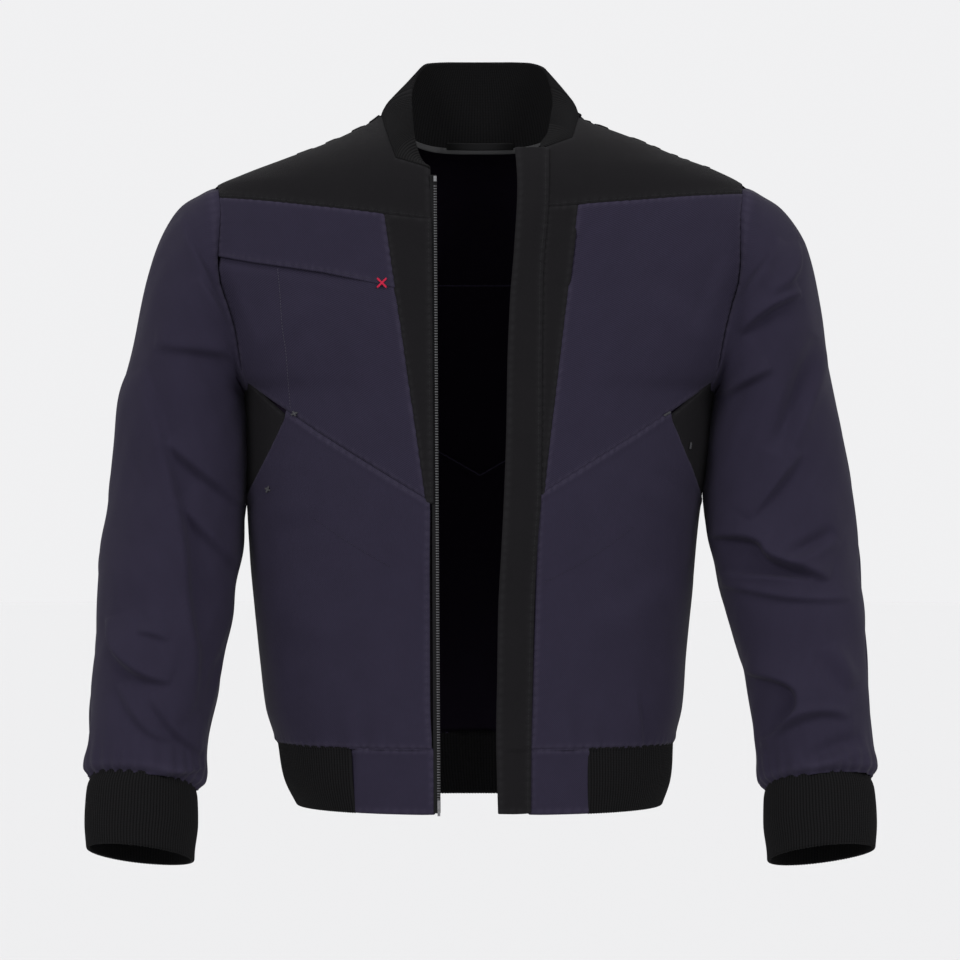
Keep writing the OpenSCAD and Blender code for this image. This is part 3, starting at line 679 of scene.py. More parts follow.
def edgeShape(p, edges):
    # seam shapes: the edge turns in by its tuck, the cloth beside it lies up on the seam allowance by its
    # lift, a stitch line presses it down, and short puckers run along it; also gives how worn each point is
    run = {"left": arcs(p, 0), "low": arcs(p, 1)}
    run["right"], run["high"] = run["left"][-1:] - run["left"], run["low"][:, -1:] - run["low"]
    across = {"left": run["low"], "right": run["low"], "low": run["left"], "high": run["left"]}
    shape, worn = np.zeros(p.shape[:2]), np.zeros(p.shape[:2])
    for edge, (tuck, lift, stitch, pucker) in edges.items():
        d, s = run[edge], across[edge]
        shape -= tuck * np.exp(-(d / seamShape["tuck"]) ** 2)
        shape += lift * np.exp(-(np.maximum(d - seamShape["flat"], 0) / seamShape["allowance"]) ** 4)
        if stitch:
            shape -= seamShape["dent"] * np.exp(-((d - stitch) / seamShape["dentReach"]) ** 2)
        wave = (np.sin(s * 2 * np.pi / seamShape["longPucker"] + 1.4 * np.sin(s / 13))
                + 0.5 * np.sin(s * 2 * np.pi / seamShape["shortPucker"] + np.sin(s / 7)))
        shape += pucker * wave * np.exp(-(d / seamShape["puckerReach"]) ** 2)
        rubbed = np.exp(-((d - seamShape["wornAt"]) / seamShape["wornReach"]) ** 2)
        worn = np.maximum(worn, (0.5 + 0.35 * np.tanh(wave)) * rubbed)
    return shape, worn


# Pitch, length and radius of the stitches in the seams.
seamStitch = (3.0, 2.1, 0.26)


def panel(name, node, p, thickness, paint, edges, stand=None):
    # one cut of cloth on the torso: p holds points of the smooth skin
    shape, worn = edgeShape(p, edges)
    if stand is not None:
        shape = shape + stand
    final = onSkin(p, shape)
    piece = clothShell(name, final, thickness, [paint, innerCloth], wear=worn)
    navy = paint is navyTwill
    placed(piece, [node], "torso", p)
    for edge, (_, _, stitch, _) in edges.items():
        if stitch:
            thread = navyThread if navy else blackThread
            sewn.append((thread, lineBeside(final, edge, stitch), *seamStitch))


# Seams in the front, as x and z; side is 1 on the wearer's left and -1 on the wearer's right.
seams = {
    "flapRoot": [(-640, 46.5), (-574, 46.9), (-506, 48.3), (-449, 49.8), (-391, 52.6), (-334, 56.4),
                 (-196, 57.6),
                 (-131, 58.6), (-61, 63.7), (-10, 64.5)],
    "rightEdge": [(-640, 43), (-28, 47.3)],
    "stripLeft": [(-340, 60), (-65, 93)], "stripRight": [(-340, 52), (-65, 92)],
    "diagonal": [(45, -346), (150, -281), (229, -228)],
    "neckLeft": [(57, -10), (88, 3), (96, 29)], "neckRight": [(47, -28), (80, -18), (96, 30)],
    "pocketEdge": [(-342, 215), (-300, 196), (-265, 182)],
    "backVee": [(0, -320), (90, -268), (226, -243)],
    "slit": [(60, -146), (88, -141), (99, -138), (150, -127), (215, -117), (256, -109)],
    "tabRight": 118, "tabLeft": 103, "lap": 0.5,
}


def frontEdge(side, z):
    return along(z, seams["flapRoot"]) if side > 0 else straight(z, seams["rightEdge"])


def stripEdge(side, z):
    return straight(z, seams["stripLeft"] if side > 0 else seams["stripRight"])


def yokeSeam(side, x):
    return mixed(-72, -49, x / 254) if side > 0 else mixed(-84, -52, x / 254)


def diagonalSeam(x):
    return straight(x, seams["diagonal"])


def ridgeAt(side, x):
    return along(x, body["ridgeLeft"] if side > 0 else body["ridgeRight"])


def neckFront(side, x):
    return straight(x, seams["neckLeft"] if side > 0 else seams["neckRight"])


def neckBack(x):
    return 1 + 28.5 * np.minimum(np.abs(x) / body["neckHalf"], 1) ** 4


def armEdge(z):
    return along(z, body["armholeEdge"])


def sideName(side):
    return "left" if side > 0 else "right"


lap = seams["lap"]
clothThick = 2.0
# Tuck, lift, distance of the stitch line (0 where there is none) and pucker of an edge.
plain = (1.3, 0.0, 0, 0.16)
raised = (1.2, 0.55, 2.4, 0.22)
ridgeEdge = (0.4, 0.0, 0, 0.0)
frontEdgeShape = (0.6, 0.5, 2.2, 0.2)
hemEdge = (1.5, 0.3, 0, 0.45)
# Where cuts end: half-width of the yoke's ridge, top of the armpit, top of the slanted pocket's side.
cuts = {"yokeHalf": 255.5, "armpit": -239, "pocketSide": -342, "gussetLow": -343, "gussetHigh": -231,
        "stripLow": -347, "backHalf": 226, "leftSlit": (-142, -86)}


def frontYoke(side):
    # from the neck and the ridge of the shoulder down to the yoke seam
    s, t = gridOf(205, 75)
    neckShare = 0.27
    xt = np.where(s < neckShare, mixed(57 if side > 0 else 48, body["neckHalf"], s / neckShare),
                  mixed(body["neckHalf"], cuts["yokeHalf"], (s - neckShare) / (1 - neckShare)))
    zt = np.where(s < neckShare, neckFront(side, xt), ridgeAt(side, xt))
    xb = mixed(frontEdge(side, -80), armEdge(-60) + lap, s)
    zb = yokeSeam(side, xb) - lap
    down = 1 - t
    p = smoothAt(side * mixed(xt, xb, down), mixed(zt, zb, down ** 2))
    panel("frontYoke." + sideName(side), "front_yoke_" + sideName(side), p, clothThick, blackTwill,
          {"low": raised, "right": plain, "left": plain, "high": ridgeEdge})


def chestAcross(side, z, s):
    # x at share s of the way from the strip to the armhole
    return mixed(stripEdge(side, z) - lap, armEdge(np.maximum(z, cuts["armpit"])) + lap, s)


def chestPanel(side, name, low, high, edges, stand):
    # between the strip and the armhole, from the diagonal seam or the slit up to the yoke seam or the slit;
    # the low edge is found by putting its x back into the seam's line four times
    s, t = gridOf(150, 170 if name == "chestPanel" else 100)
    zb = low(mixed(60, 228, s))
    for _ in range(4):
        zb = low(chestAcross(side, zb, s)) - lap
    zt = high(mixed(92, 250, s))
    z = mixed(zb, zt, t)
    x = chestAcross(side, z, s)
    p = smoothAt(side * x, z)
    panel(name + "." + sideName(side), "chest_panel_" + sideName(side), p, clothThick, navyTwill, edges,
          stand=stand(x, z))


def slitLine(x):
    return straight(x, seams["slit"])


def lowerStand(x, z):
    # under the slit the cloth drops back behind the piece above it
    gap = z - slitLine(x)
    openPart = 0.35 + 0.65 * eased((x - 95) / 50)
    return -2.7 * openPart * np.exp(-(np.maximum(-4 - gap, 0) / 4.0) ** 2)


def upperStand(x, z):
    # over the slit the cloth stands a little open
    openPart = eased((x - 100) / 45)
    return 0.5 * openPart * np.exp(-((z - slitLine(x)) / 14) ** 2)


def leftWindow(z):
    # 1 between the ends of the upright pocket mouth and 0 outside them
    low, high = cuts["leftSlit"]
    return eased((z - low) / 8) * eased((high - z) / 8)


def leftGap(x, z):
    # the upright pocket mouth beside the strip
    return -2.4 * leftWindow(z) * np.exp(-((x - stripEdge(1, z)) / 5.5) ** 2)


def centreStrip(side):
    # the tapered strip between the front edge and the chest
    s, t = gridOf(28, 250, 2.2)
    x0 = frontEdge(side, -80.0)
    zt = yokeSeam(side, mixed(x0, 92, s)) + lap
    z = mixed(cuts["stripLow"], zt, t)
    inner = frontEdge(side, z) - lap
    outer = np.maximum(stripEdge(side, z) + lap, inner + 6)
    p = smoothAt(side * mixed(inner, outer, s), z)
    stand = 0.9 * s ** 2 * (leftWindow(z) if side > 0 else 0)
    panel("centreStrip." + sideName(side), "centre_strip_" + sideName(side), p, clothThick, blackTwill,
          {"right": plain, "left": frontEdgeShape, "high": plain, "low": (0.8, 0, 0, 0)}, stand=stand)


def lowerFront(side):
    # from the hem seam to the diagonal seam, the slanted pocket mouth and the gusset, round to the side
    s, t = gridOf(215, 255)
    zb, mouthEnd = body["hemSeam"], cuts["pocketSide"]
    cornerA, cornerB = 0.60, 0.80
    xa = mixed(frontEdge(side, -343.0), 182, np.clip(s / cornerA, 0, 1))
    za = diagonalSeam(xa) + lap
    zBend = mixed(diagonalSeam(182) + lap, mouthEnd, np.clip((s - cornerA) / (cornerB - cornerA), 0, 1))
    ua = angleAt(xa, za)
    ub = angleAt(straight(zBend, seams["pocketEdge"]), zBend)
    uc = mixed(angleAt(215, mouthEnd), body["sideAngle"], np.clip((s - cornerB) / (1 - cornerB), 0, 1))
    zt = np.where(s < cornerA, za, np.where(s < cornerB, zBend, mouthEnd))
    ut = np.where(s < cornerA, ua, np.where(s < cornerB, ub, uc))
    uLow = mixed(angleAt(frontEdge(side, zb), zb), body["sideAngle"], s)
    z = mixed(zb, zt, t)
    inner = angleAt(frontEdge(side, z), z)
    p = smoothAround(np.maximum(mixed(uLow, ut, t), inner), z, side)
    mouth = eased((s - 0.57) / 0.04) * eased((0.84 - s) / 0.04)
    stand = 0.8 * mouth * np.exp(-((1 - t) * 240 / 9) ** 2)
    panel("lowerFront." + sideName(side), "lower_front_" + sideName(side), p, clothThick, navyTwill,
          {"high": raised, "low": hemEdge, "left": frontEdgeShape, "right": plain}, stand=stand)


def underarmGusset(side):
    # the black piece under the arm, behind the slanted pocket mouth
    s, t = gridOf(90, 105)
    z = mixed(cuts["gussetLow"], cuts["gussetHigh"], t)
    x0 = np.maximum(straight(z, seams["pocketEdge"]), straight(z, [(-265, 182), (-228, 229)])) - 1
    u0 = angleAt(np.minimum(x0, halfWidth(z, side)), z)
    p = smoothAround(mixed(u0, body["sideAngle"], s), z, side)
    panel("underarmGusset." + sideName(side), "underarm_gusset_" + sideName(side), p, clothThick, blackTwill,
          {"low": plain, "high": plain, "left": (1.8, 0, 0, 0.1), "right": plain},
          stand=-0.6 * (1 - eased(s * 6)))


def backYoke():
    # from the neck and the ridge of the shoulders down to a straight seam
    s, t = gridOf(520, 150)
    v, down = 1 - 2 * s, 1 - t
    xt = v * cuts["yokeHalf"]
    top = np.where(v >= 0, ridgeAt(1, np.maximum(np.abs(xt), 96)), ridgeAt(-1, np.maximum(np.abs(xt), 95)))
    zt = np.where(np.abs(xt) < body["neckHalf"], neckBack(xt), top)
    xb = v * (armEdge(body["backYokeSeam"]) + lap)
    p = smoothAt(mixed(xt, xb, down), mixed(zt, body["backYokeSeam"] - lap, down ** 2), True)
    panel("backYoke", "back_yoke", p, clothThick, blackTwill,
          {"low": raised, "left": plain, "right": plain, "high": ridgeEdge})


def backUpper():
    # from the yoke down to the V seam
    s, t = gridOf(460, 150)
    v = 1 - 2 * s
    vee = straight(np.abs(v) * cuts["backHalf"], seams["backVee"])
    z = mixed(vee - lap, body["backYokeSeam"] + lap, t)
    p = smoothAt(v * (armEdge(np.maximum(z, cuts["armpit"])) + lap), z, True)
    panel("backUpper", "back_upper", p, clothThick, navyTwill,
          {"low": plain, "high": plain, "left": plain, "right": plain})


def backLower():
    # from the V seam down to the hem, round to the side seams
    s, t = gridOf(430, 300)
    v = 1 - 2 * s
    span = 180 - body["sideAngle"] + 0.3
    xt = v * cuts["backHalf"]
    zt = straight(np.abs(xt), seams["backVee"]) + lap
    top = np.minimum(angleAt(xt, zt), span)
    z = mixed(body["hemSeam"], zt, t)
    p = smoothAround(180 - mixed(v * span, np.sign(v) * top, t), z)
    panel("backLower", "back_lower", p, clothThick, navyTwill,
          {"low": hemEdge, "high": raised, "left": plain, "right": plain})


def hemTab(side):
    # the navy end of the hem; its outer edge runs on under the end of the rib band
    s, t = gridOf(62, 60, 2.0)
    z = mixed(body["hemLow"], body["hemSeam"] + 0.8, t)
    outer = seams["tabLeft"] if side > 0 else seams["tabRight"]
    x = mixed(frontEdge(side, z), outer + 9, s)
    p = smoothAt(side * x, z)
    edges = {"low": (0.4, 0, 0, 0.1), "high": (1.5, 0.4, 2.6, 0.25), "left": (0.6, 0.4, 2.2, 0.15),
             "right": (1.3, 0, 0, 0.2)}
    panel("hemTab." + sideName(side), "hem_tab_" + sideName(side), p, 2.6, navyTwill, edges,
          stand=-0.2 - 2.4 * eased((x - outer + 0.4) / 2.4))


frontYoke(1)
frontYoke(-1)
chestPanel(1, "chestPanel", diagonalSeam, lambda x: yokeSeam(1, x) + lap,
           {"low": plain, "high": plain, "left": plain, "right": plain}, leftGap)
chestPanel(-1, "chestLow", diagonalSeam, lambda x: slitLine(x) + 4.0,
           {"low": plain, "high": (0.2, 0, 0, 0), "left": plain, "right": plain}, lowerStand)
chestPanel(-1, "chestHigh", slitLine, lambda x: yokeSeam(-1, x) + lap,
           {"low": (0.5, 0.3, 2.4, 0.12), "high": plain, "left": plain, "right": plain}, upperStand)
for side in (1, -1):
    centreStrip(side)
    lowerFront(side)
    underarmGusset(side)
    hemTab(side)
backYoke()
backUpper()
backLower()
print("body cloth made")

# A sleeve as rings: outer and inner edge as x by height, with the middle's y, half-depth and tilt of each
# ring. Its blend runs from the armpit outward and down, in metres.
sleeve = {
    "ringOuter": [-60, -100, -155, -205, -250, -335, -436, -532, -607],
    "ringInner": [-243, -246, -251, -268, -300, -352, -446, -540, -618],
    "middleY": [0, -1, -2, -4, -8, -16, -40, -66, -88],
    "halfDepth": [76, 76, 75, 72, 70, 67, 63, 58, 53],
    "tilt": [0, 0, 0, 1, 3, 7, 12, 15, 16],
    "outer": {-1: [(-620, 375), (-598, 374), (-583, 370.5), (-555, 370), (-510, 371), (-451, 368.5),
                   (-393, 364.5),
                   (-335, 359), (-275, 352.5), (-228, 345), (-173, 334), (-132, 324), (-93, 311), (-66, 295),
                   (-50, 275), (-40, 256)],
              1: [(-620, 375), (-590, 375.5), (-544, 371), (-498, 370), (-451, 368), (-393, 365.5),
                  (-335, 360.5),
                  (-287, 353), (-240, 343), (-173, 332), (-132, 325), (-96, 318), (-78, 307.5), (-59, 292),
                  (-47, 273), (-40, 257)]},
    "inner": {-1: [(-631, 267), (-595, 264), (-555, 256), (-509, 246.5), (-463, 239), (-423, 234),
                   (-382, 230),
                   (-336, 225.5), (-300, 224.5), (-268, 225), (-243, 227.5)],
              1: [(-631, 267), (-590, 267), (-549, 260), (-509, 249), (-470, 241), (-429, 232), (-382, 222.5),
                  (-334, 215.5), (-300, 218.5), (-268, 222), (-243, 227)]},
    "thickness": 2.0, "foldGain": 2.7, "columns": 184, "step": 2.3, "girth": 62,
    "blendStart": (0.229, -0.239), "blendEnd": (0.349, -0.329),
    # height and shortest and longest length of the slow and the fine waves
    "slow": (3.4, 55, 140), "fine": (1.6, 22, 50),
}

# Folds of the sleeves, written like the body's.
sleeveFolds = {
    -1: [([(-229, -226), (-236, -184), (-259, -128), (-287, -72)], 8, 4.0, 1.6, 0),
         ([(-231, -194), (-245, -170), (-266, -131)], 8, 3.0, 1.6, 0),
         ([(-279, -556), (-267, -531), (-265, -494), (-272, -456), (-276, -410), (-281, -363), (-299, -291),
           (-320, -217)], 30, 4.5, 4.5, 0),
         ([(-312, -198), (-236, -207)], 14, 2.6, 4, 0), ([(-300, -290), (-232, -350)], 16, 3.6, 3.5, 0),
         ([(-290, -345), (-232, -412)], 16, 3.6, 3.5, 0),
         ([(-357, -456), (-351, -481), (-335, -500), (-317, -512), (-292, -518)], 14, 4.2, 2.2, 0),
         ([(-323, -469), (-307, -472), (-295, -478)], 7, 2.2, 2, 0),
         ([(-342, -518), (-329, -543), (-311, -564), (-289, -571)], 10, 2.4, 3, 0),
         ([(-311, -528), (-295, -556), (-273, -577), (-258, -588)], 10, 2.8, 2.5, 0),
         ([(-310, -601), (-286, -603), (-262, -598)], 8, 3.0, 2, 0),
         ([(-235, -280), (-310, -220)], 14, 3.6, 4, 1), ([(-236, -350), (-330, -325)], 14, 3.6, 4, 1),
         ([(-240, -410), (-300, -425), (-345, -420)], 13, 3.4, 3, 1),
         ([(-250, -480), (-350, -500)], 13, 2.8, 4, 1),
         ([(-262, -560), (-350, -585)], 12, 2.6, 4, 1)],
    1: [([(286, -91), (275, -111), (260, -130), (245, -148), (230, -173)], 8, 3.4, 1.6, 0),
        ([(275, -122), (254, -142), (233, -170)], 7, 3.0, 1.6, 0),
        ([(250, -186), (269, -168), (290, -155), (308, -149)], 14, 4.2, 2.2, 0),
        ([(275, -150), (299, -136), (310, -118), (309, -95)], 10, 2.8, 2.2, 0),
        ([(280, -300), (299, -254), (311, -224), (325, -188)], 10, -3.4, 0, 0),
        ([(233, -246), (260, -230), (279, -219)], 12, 3.6, 3, 0),
        ([(259, -364), (281, -333), (307, -300)], 12, 3.2, 2.4, 0),
        ([(222, -380), (264, -381), (272, -400), (302, -409), (330, -421)], 16, 6.0, 2.4, 0),
        ([(318, -419), (272, -415), (228, -413)], 7, 3.4, 2, 0),
        ([(228, -425), (276, -436), (312, -440), (352, -439)], 6, 3.2, 2.6, 0),
        ([(288, -399), (312, -387), (336, -373)], 7, -2.2, 0, 0),
        ([(250, -508), (294, -518), (299, -538), (284, -557), (266, -573)], 14, 4.8, 2.2, 0),
        ([(278, -562), (302, -544), (325, -540), (347, -546)], 5, 2.4, 0, 0),
        ([(302, -589), (331, -574), (358, -569)], 8, -2.0, 0, 0),
        ([(330, -480), (352, -520)], 10, 2.0, 0, 0),
        ([(310, -220), (235, -280)], 14, 3.6, 4, 1), ([(330, -325), (236, -350)], 14, 3.6, 4, 1),
        ([(345, -420), (300, -425), (240, -410)], 13, 3.4, 3, 1), ([(350, -500), (250, -480)], 13, 2.8, 4, 1),
        ([(350, -585), (262, -560)], 12, 2.6, 4, 1)],
}


def armholeRing(angles):
    # the armhole's edge on the skin, from the shoulder point round the back, the armpit and the front
    z = -140 + 100 * np.cos(angles)
    x = np.minimum(armEdge(z), halfWidth(z, 1.0) - 0.5)
    back = np.sin(angles) >= 0
    k = (1 - (x / halfWidth(z, 1.0)) ** body["roundness"]) ** (1 / body["roundness"])
    y = np.where(back, depthAt(z, True), -depthAt(z, False)) * k * np.minimum(1, np.abs(np.sin(angles)) * 3)
    under = eased((-np.cos(angles) - 0.72) / 0.2)
    return np.stack([x - 7 * under, y, z - 5 * under], -1)


def sleeveRings(side, angles):
    # ring k: middle + half-width cos(a) + half-depth sin(a) along the tilted direction
    zo, zi = np.array(sleeve["ringOuter"], float), np.array(sleeve["ringInner"], float)
    outer = np.stack([along(zo, sleeve["outer"][side]), zo * 0, zo], -1)
    inner = np.stack([along(zi, sleeve["inner"][side]), zi * 0, zi], -1)
    y, depth = np.array(sleeve["middleY"], float), np.array(sleeve["halfDepth"], float)
    tilt = np.radians(sleeve["tilt"])
    middle, half = (outer + inner) / 2, (outer - inner) / 2
    middle[:, 1] += y
    deep = np.stack([tilt * 0, np.cos(tilt), -np.sin(tilt)], -1) * depth[:, None]
    c, s = np.cos(angles)[None, :, None], np.sin(angles)[None, :, None]
    return middle[:, None] + half[:, None] * c + deep[:, None] * s


def makeSleeve(side):
    # rings joined by a cubic, then folds, waves, gathers over the cuff and the raised seam at the armhole
    angles = np.linspace(0, 2 * np.pi, sleeve["columns"], endpoint=False)
    rings = sleeveRings(side, angles)
    first = armholeRing(angles)
    if side < 0:
        first[:, 0] = np.minimum(first[:, 0], along(first[:, 2], sleeve["outer"][side]))
    allRings = np.concatenate([first[None], rings], 0)
    reach = np.linalg.norm(np.diff(allRings, axis=0), axis=-1).mean(1)
    stations = np.concatenate([[0], np.cumsum(reach)])
    steps = edgeSteps(stations[-1], sleeve["step"]) * stations[-1]
    smooth = through(steps, stations, allRings).transpose(1, 0, 2) * np.array([side, 1, 1.0])
    middle = smooth.mean(0)[None] + np.zeros_like(smooth)
    normal = gridNormals(smooth, True)
    normal = normal * np.sign((normal * (smooth - middle)).sum())
    x, y, z = smooth[..., 0], smooth[..., 1], smooth[..., 2]
    down, up = steps[None, :] + 0 * x, stations[-1] - steps[None, :] + 0 * x
    turn = angles[:, None] + 0 * x
    relief = sleeve["foldGain"] * foldHeight(x, z, y > middle[..., 1], sleeveFolds[side])
    edgeOn = np.abs(y - middle[..., 1]) / 60
    relief = relief * eased(edgeOn * 2.2 + 0.15)
    around = turn * sleeve["girth"]
    relief = relief + softWaves(around, down, 31 + side, *sleeve["slow"])
    fine = softWaves(around, down * 0.6, 47 + side, *sleeve["fine"])
    relief = relief + fine * (0.5 + 0.5 * eased((np.cos(turn - 2.6) + 0.2) * 1.2))
    beside = np.exp(-(np.minimum(np.abs(turn - np.pi), 2) / 0.5) ** 2) * eased((z + 350) / 40)
    relief = relief * eased(down / 30) * (1 - 0.85 * beside)
    gather = np.exp(-up / 20)
    relief = relief + gather * (1.3 * np.sin(turn * 27 + 1.5 * np.sin(turn * 5)) + 1.5)
    relief = relief - 5.5 * np.exp(-(up / 4.5) ** 2) + 1.6 * np.exp(-((up - 16) / 11) ** 2)
    seam = down < 40
    wave = np.sin(turn * 68 / 1.4) + 0.5 * np.sin(turn * 68 / 0.86)
    relief = relief + seam * (-1.0 * np.exp(-(down / 1.8) ** 2) + 1.3 * np.exp(-((down - 6) / 5) ** 2)
                              + 0.2 * wave * np.exp(-(down / 8) ** 2))
    final = smooth + normal * relief[..., None]
    final = final + skinNormal(smooth) * (bodyRelief(smooth) * np.exp(-(down / 12) ** 2))[..., None]
    worn = (0.5 + 0.3 * np.tanh(wave)) * np.exp(-((down - 3) / 2.4) ** 2) + 0.4 * np.exp(-((up - 6) / 5) ** 2)
    word = sideName(side)
    piece = clothShell("sleeve." + word, final, sleeve["thickness"], [navyTwill, innerCloth], True, middle,
                       worn)
    placed(piece, ["sleeve_head_" + word, "sleeve_" + word], None, smooth, True)
    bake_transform(piece)


# Rib knit: pitch and depth of the ribs, thickness of the folded knit.
rib = {"pitch": 2.9, "depth": 0.75, "thickness": 3.0, "perRib": 6,
       "cuffOuter": [(-690, 371), (-676, 371.5), (-650, 373), (-620, 372), (-606, 369)],
       "cuffInner": [(-690, 270), (-676, 270.5), (-650, 268.5), (-620, 269), (-606, 272)]}


def ribWave(count, total):
    # height of the ribs at share s of the way: rounded tops and narrow furrows, |cos| to a low power
    phase = np.linspace(0, 1, total) * count * np.pi
    return np.abs(np.cos(phase)) ** 0.7


def ribPiece(name, node, smooth, ribs, riding, wrap=False, about=None):
    # ribs run along the grid's second direction
    wave = ribWave(ribs, smooth.shape[0] + (1 if wrap else 0))[:smooth.shape[0]]
    normal = gridNormals(smooth, wrap)
    base = smooth * np.array([0, 0, 1.0]) if about is None else about
    normal = normal * np.sign((normal * (smooth - base)).sum())
    height = (wave[:, None] - 0.6) * rib["depth"] + np.zeros(smooth.shape[:2])
    final = smooth + normal * height[..., None]
    inside = smooth - normal * (rib["thickness"] + 0.4 * height)[..., None]
    # the rib height, not wear: the knit's finish paints shade from it into the furrows and lightens the rib
    # tops
    worn = wave[:, None] + np.zeros(smooth.shape[:2])
    piece = clothShell(name, final, 0, [ribKnit, ribKnit], wrap, about, worn, 4, inside)
    placed(piece, [node], riding, smooth, wrap)


def finerEnds(low, high, lowPart, highPart, lowCount, middleCount, highCount):
    # even steps with closer ones in the parts beside both ends
    a, b = low + lowPart, high - highPart
    return np.concatenate([np.linspace(low, a, lowCount)[:-1], np.linspace(a, b, middleCount),
                           np.linspace(b, high, highCount)[1:]])


def makeCuff(side):
    # a tube that is slightly fuller in the middle and nipped at the sleeve
    ribs = 112
    angles = np.linspace(0, 2 * np.pi, ribs * rib["perRib"], endpoint=False)[:, None]
    t = finerEnds(0, 1, 0.08, 0.08, 4, 17, 4)[None, :]
    zo, zi = mixed(-605.0, -671.5, t), mixed(-616.0, -682.0, t)
    outer, inner = along(zo, rib["cuffOuter"]), along(zi, rib["cuffInner"])
    full = 1 + 0.02 * np.sin(np.pi * t) - 0.03 * np.exp(-(t / 0.08) ** 2)
    depth, tilt = mixed(49.5, 48.5, t) * full, np.radians(16.5)
    middle = np.stack([(outer + inner) / 2, mixed(-89.5, -108.5, t), (zo + zi) / 2], -1)
    half = np.stack([(outer - inner) / 2 * full, t * 0, (zo - zi) / 2], -1)
    deep = np.stack([t * 0, depth * math.cos(tilt), -depth * math.sin(tilt)], -1)
    smooth = middle + half * np.cos(angles)[..., None] + deep * np.sin(angles)[..., None]
    sag = 0.9 * np.sin(angles * 3 + side) * t + 0.6 * np.sin(angles * 5 + 2 * side) * (1 - t)
    smooth = smooth + (smooth - middle) / 50 * sag[..., None]
    smooth = smooth * np.array([side, 1, 1.0])
    about = smooth.mean(0)[None] + np.zeros_like(smooth)
    word = sideName(side)
    ribPiece("cuff." + word, "cuff_" + word, smooth, ribs, "sleeve_" + word, True, about)


def makeHemBand():
    # round the back from one tab to the other
    z = finerEnds(body["hemLow"], body["hemSeam"], 4, 5, 4, 16, 4)[None, :]
    uLeft, uRight = angleAt(seams["tabLeft"], z), 360 - angleAt(seams["tabRight"], z)
    even = np.linspace(0, 1, 400)
    runs = arcs(smoothAround(mixed(uLeft, uRight, even[:, None]), z), 0)
    ribs = int(runs[-1].mean() / rib["pitch"])
    s = np.linspace(0, 1, ribs * rib["perRib"] + 1)
    share = np.interp(s, runs[:, 10] / runs[-1, 10], even)[:, None]
    p = smoothAround(mixed(uLeft, uRight, share), z)
    swell = 1.6 * np.sin(np.pi * (z + 638) / 60) - 0.6
    p = p + skinNormal(p) * (swell + bodyRelief(p) * 0.7)[..., None]
    ribPiece("hemBand", "hem_rib", p, ribs, "torso")


# The collar: its free edge, and how far its middle stands out from the line between seam and free edge.
collar = {
    "freeRight": [(0.0, 0, 50, 86), (0.16, -28, 48, 86), (0.3, -53, 40, 84), (0.42, -64.7, 25, 68),
                  (0.53, -68, 0, 49),
                  (0.64, -66, -25, 27), (0.76, -63, -50, 5), (0.9, -57, -68, -16), (1.0, -51.5, -80, -25)],
    "freeLeft": [(0.0, 0, 50, 86), (0.16, 28, 48, 86), (0.28, 49, 44, 85), (0.36, 63.7, 32, 79),
                 (0.46, 69, 18, 64),
                 (0.56, 72, 0, 44), (0.66, 69, -25, 26), (0.78, 65, -50, 8), (0.9, 59, -66, -2),
                 (1.0, 57, -80, -9)],
    "bow": [(0.0, 6), (0.25, 9), (0.4, 11), (0.5, 10), (0.75, 7), (1.0, 2)],
    "middle": np.array([0, -6.0, 0]), "samples": 600,
}


def neckSeam(w):
    # from the right front end at -1 round the back at 0 to the left front end at 1
    h, side = np.abs(w), np.where(w < 0, -1, 1)
    end = np.where(w < 0, 48.0, 58.0)
    nape = body["neckHalf"] * np.sin(np.pi * np.minimum(h, 0.5))
    throat = end + (body["neckHalf"] - end) * np.cos(np.pi * np.maximum(h, 0.5) - np.pi / 2)
    x = np.where(h < 0.5, nape, throat)
    zf = np.where(w < 0, neckFront(-1, x), neckFront(1, x))
    back, front = smoothAt(x, neckBack(x), True), smoothAt(x, zf)
    return np.where((h < 0.5)[..., None], back, front) * np.stack([side, side * 0 + 1, side * 0 + 1.0], -1)


def collarPoint(w, t):
    # from the seam at t = 0 to the free edge at t = 1, bowed outward and up
    h = np.abs(w)
    right, left = np.array(collar["freeRight"]), np.array(collar["freeLeft"])
    free = np.where((w < 0)[..., None], through(h, right[:, 0], right[:, 1:]),
                    through(h, left[:, 0], left[:, 1:]))
    seam = neckSeam(w)
    bow = along(h, collar["bow"])
    out = (seam - collar["middle"]) * np.array([1.0, 1.0, 0])
    out = out / np.maximum(np.linalg.norm(out, axis=-1, keepdims=True), 1e-9)
    control = mixed(seam, free, 0.5) + out * bow[..., None] + np.array([0, 0, 1.0]) * (bow * 0.5)[..., None]
    t = t[..., None]
    return seam * (1 - t) ** 2 + control * 2 * t * (1 - t) + free * t * t


def makeCollar():
    # the ribs are evenly spaced over a line a little above the neck seam
    even = np.linspace(-1, 1, collar["samples"])
    run = arcs(collarPoint(even[:, None], np.full((1, 1), 0.3)), 0)[:, 0]
    ribs = int(run[-1] / rib["pitch"])
    w = np.interp(np.linspace(0, run[-1], ribs * rib["perRib"] + 1), run, even)[:, None]
    p = collarPoint(*np.broadcast_arrays(w, finerEnds(0, 1, 0.05, 0.05, 3, 26, 4)[None, :]))
    ribPiece("ribCollar", "collar", p, ribs, "torso", about=collar["middle"] + p * np.array([0, 0, 1.0]))


for side in (1, -1):
    makeSleeve(side)
    makeCuff(side)
makeHemBand()
makeCollar()
print("sleeves and rib knit made")

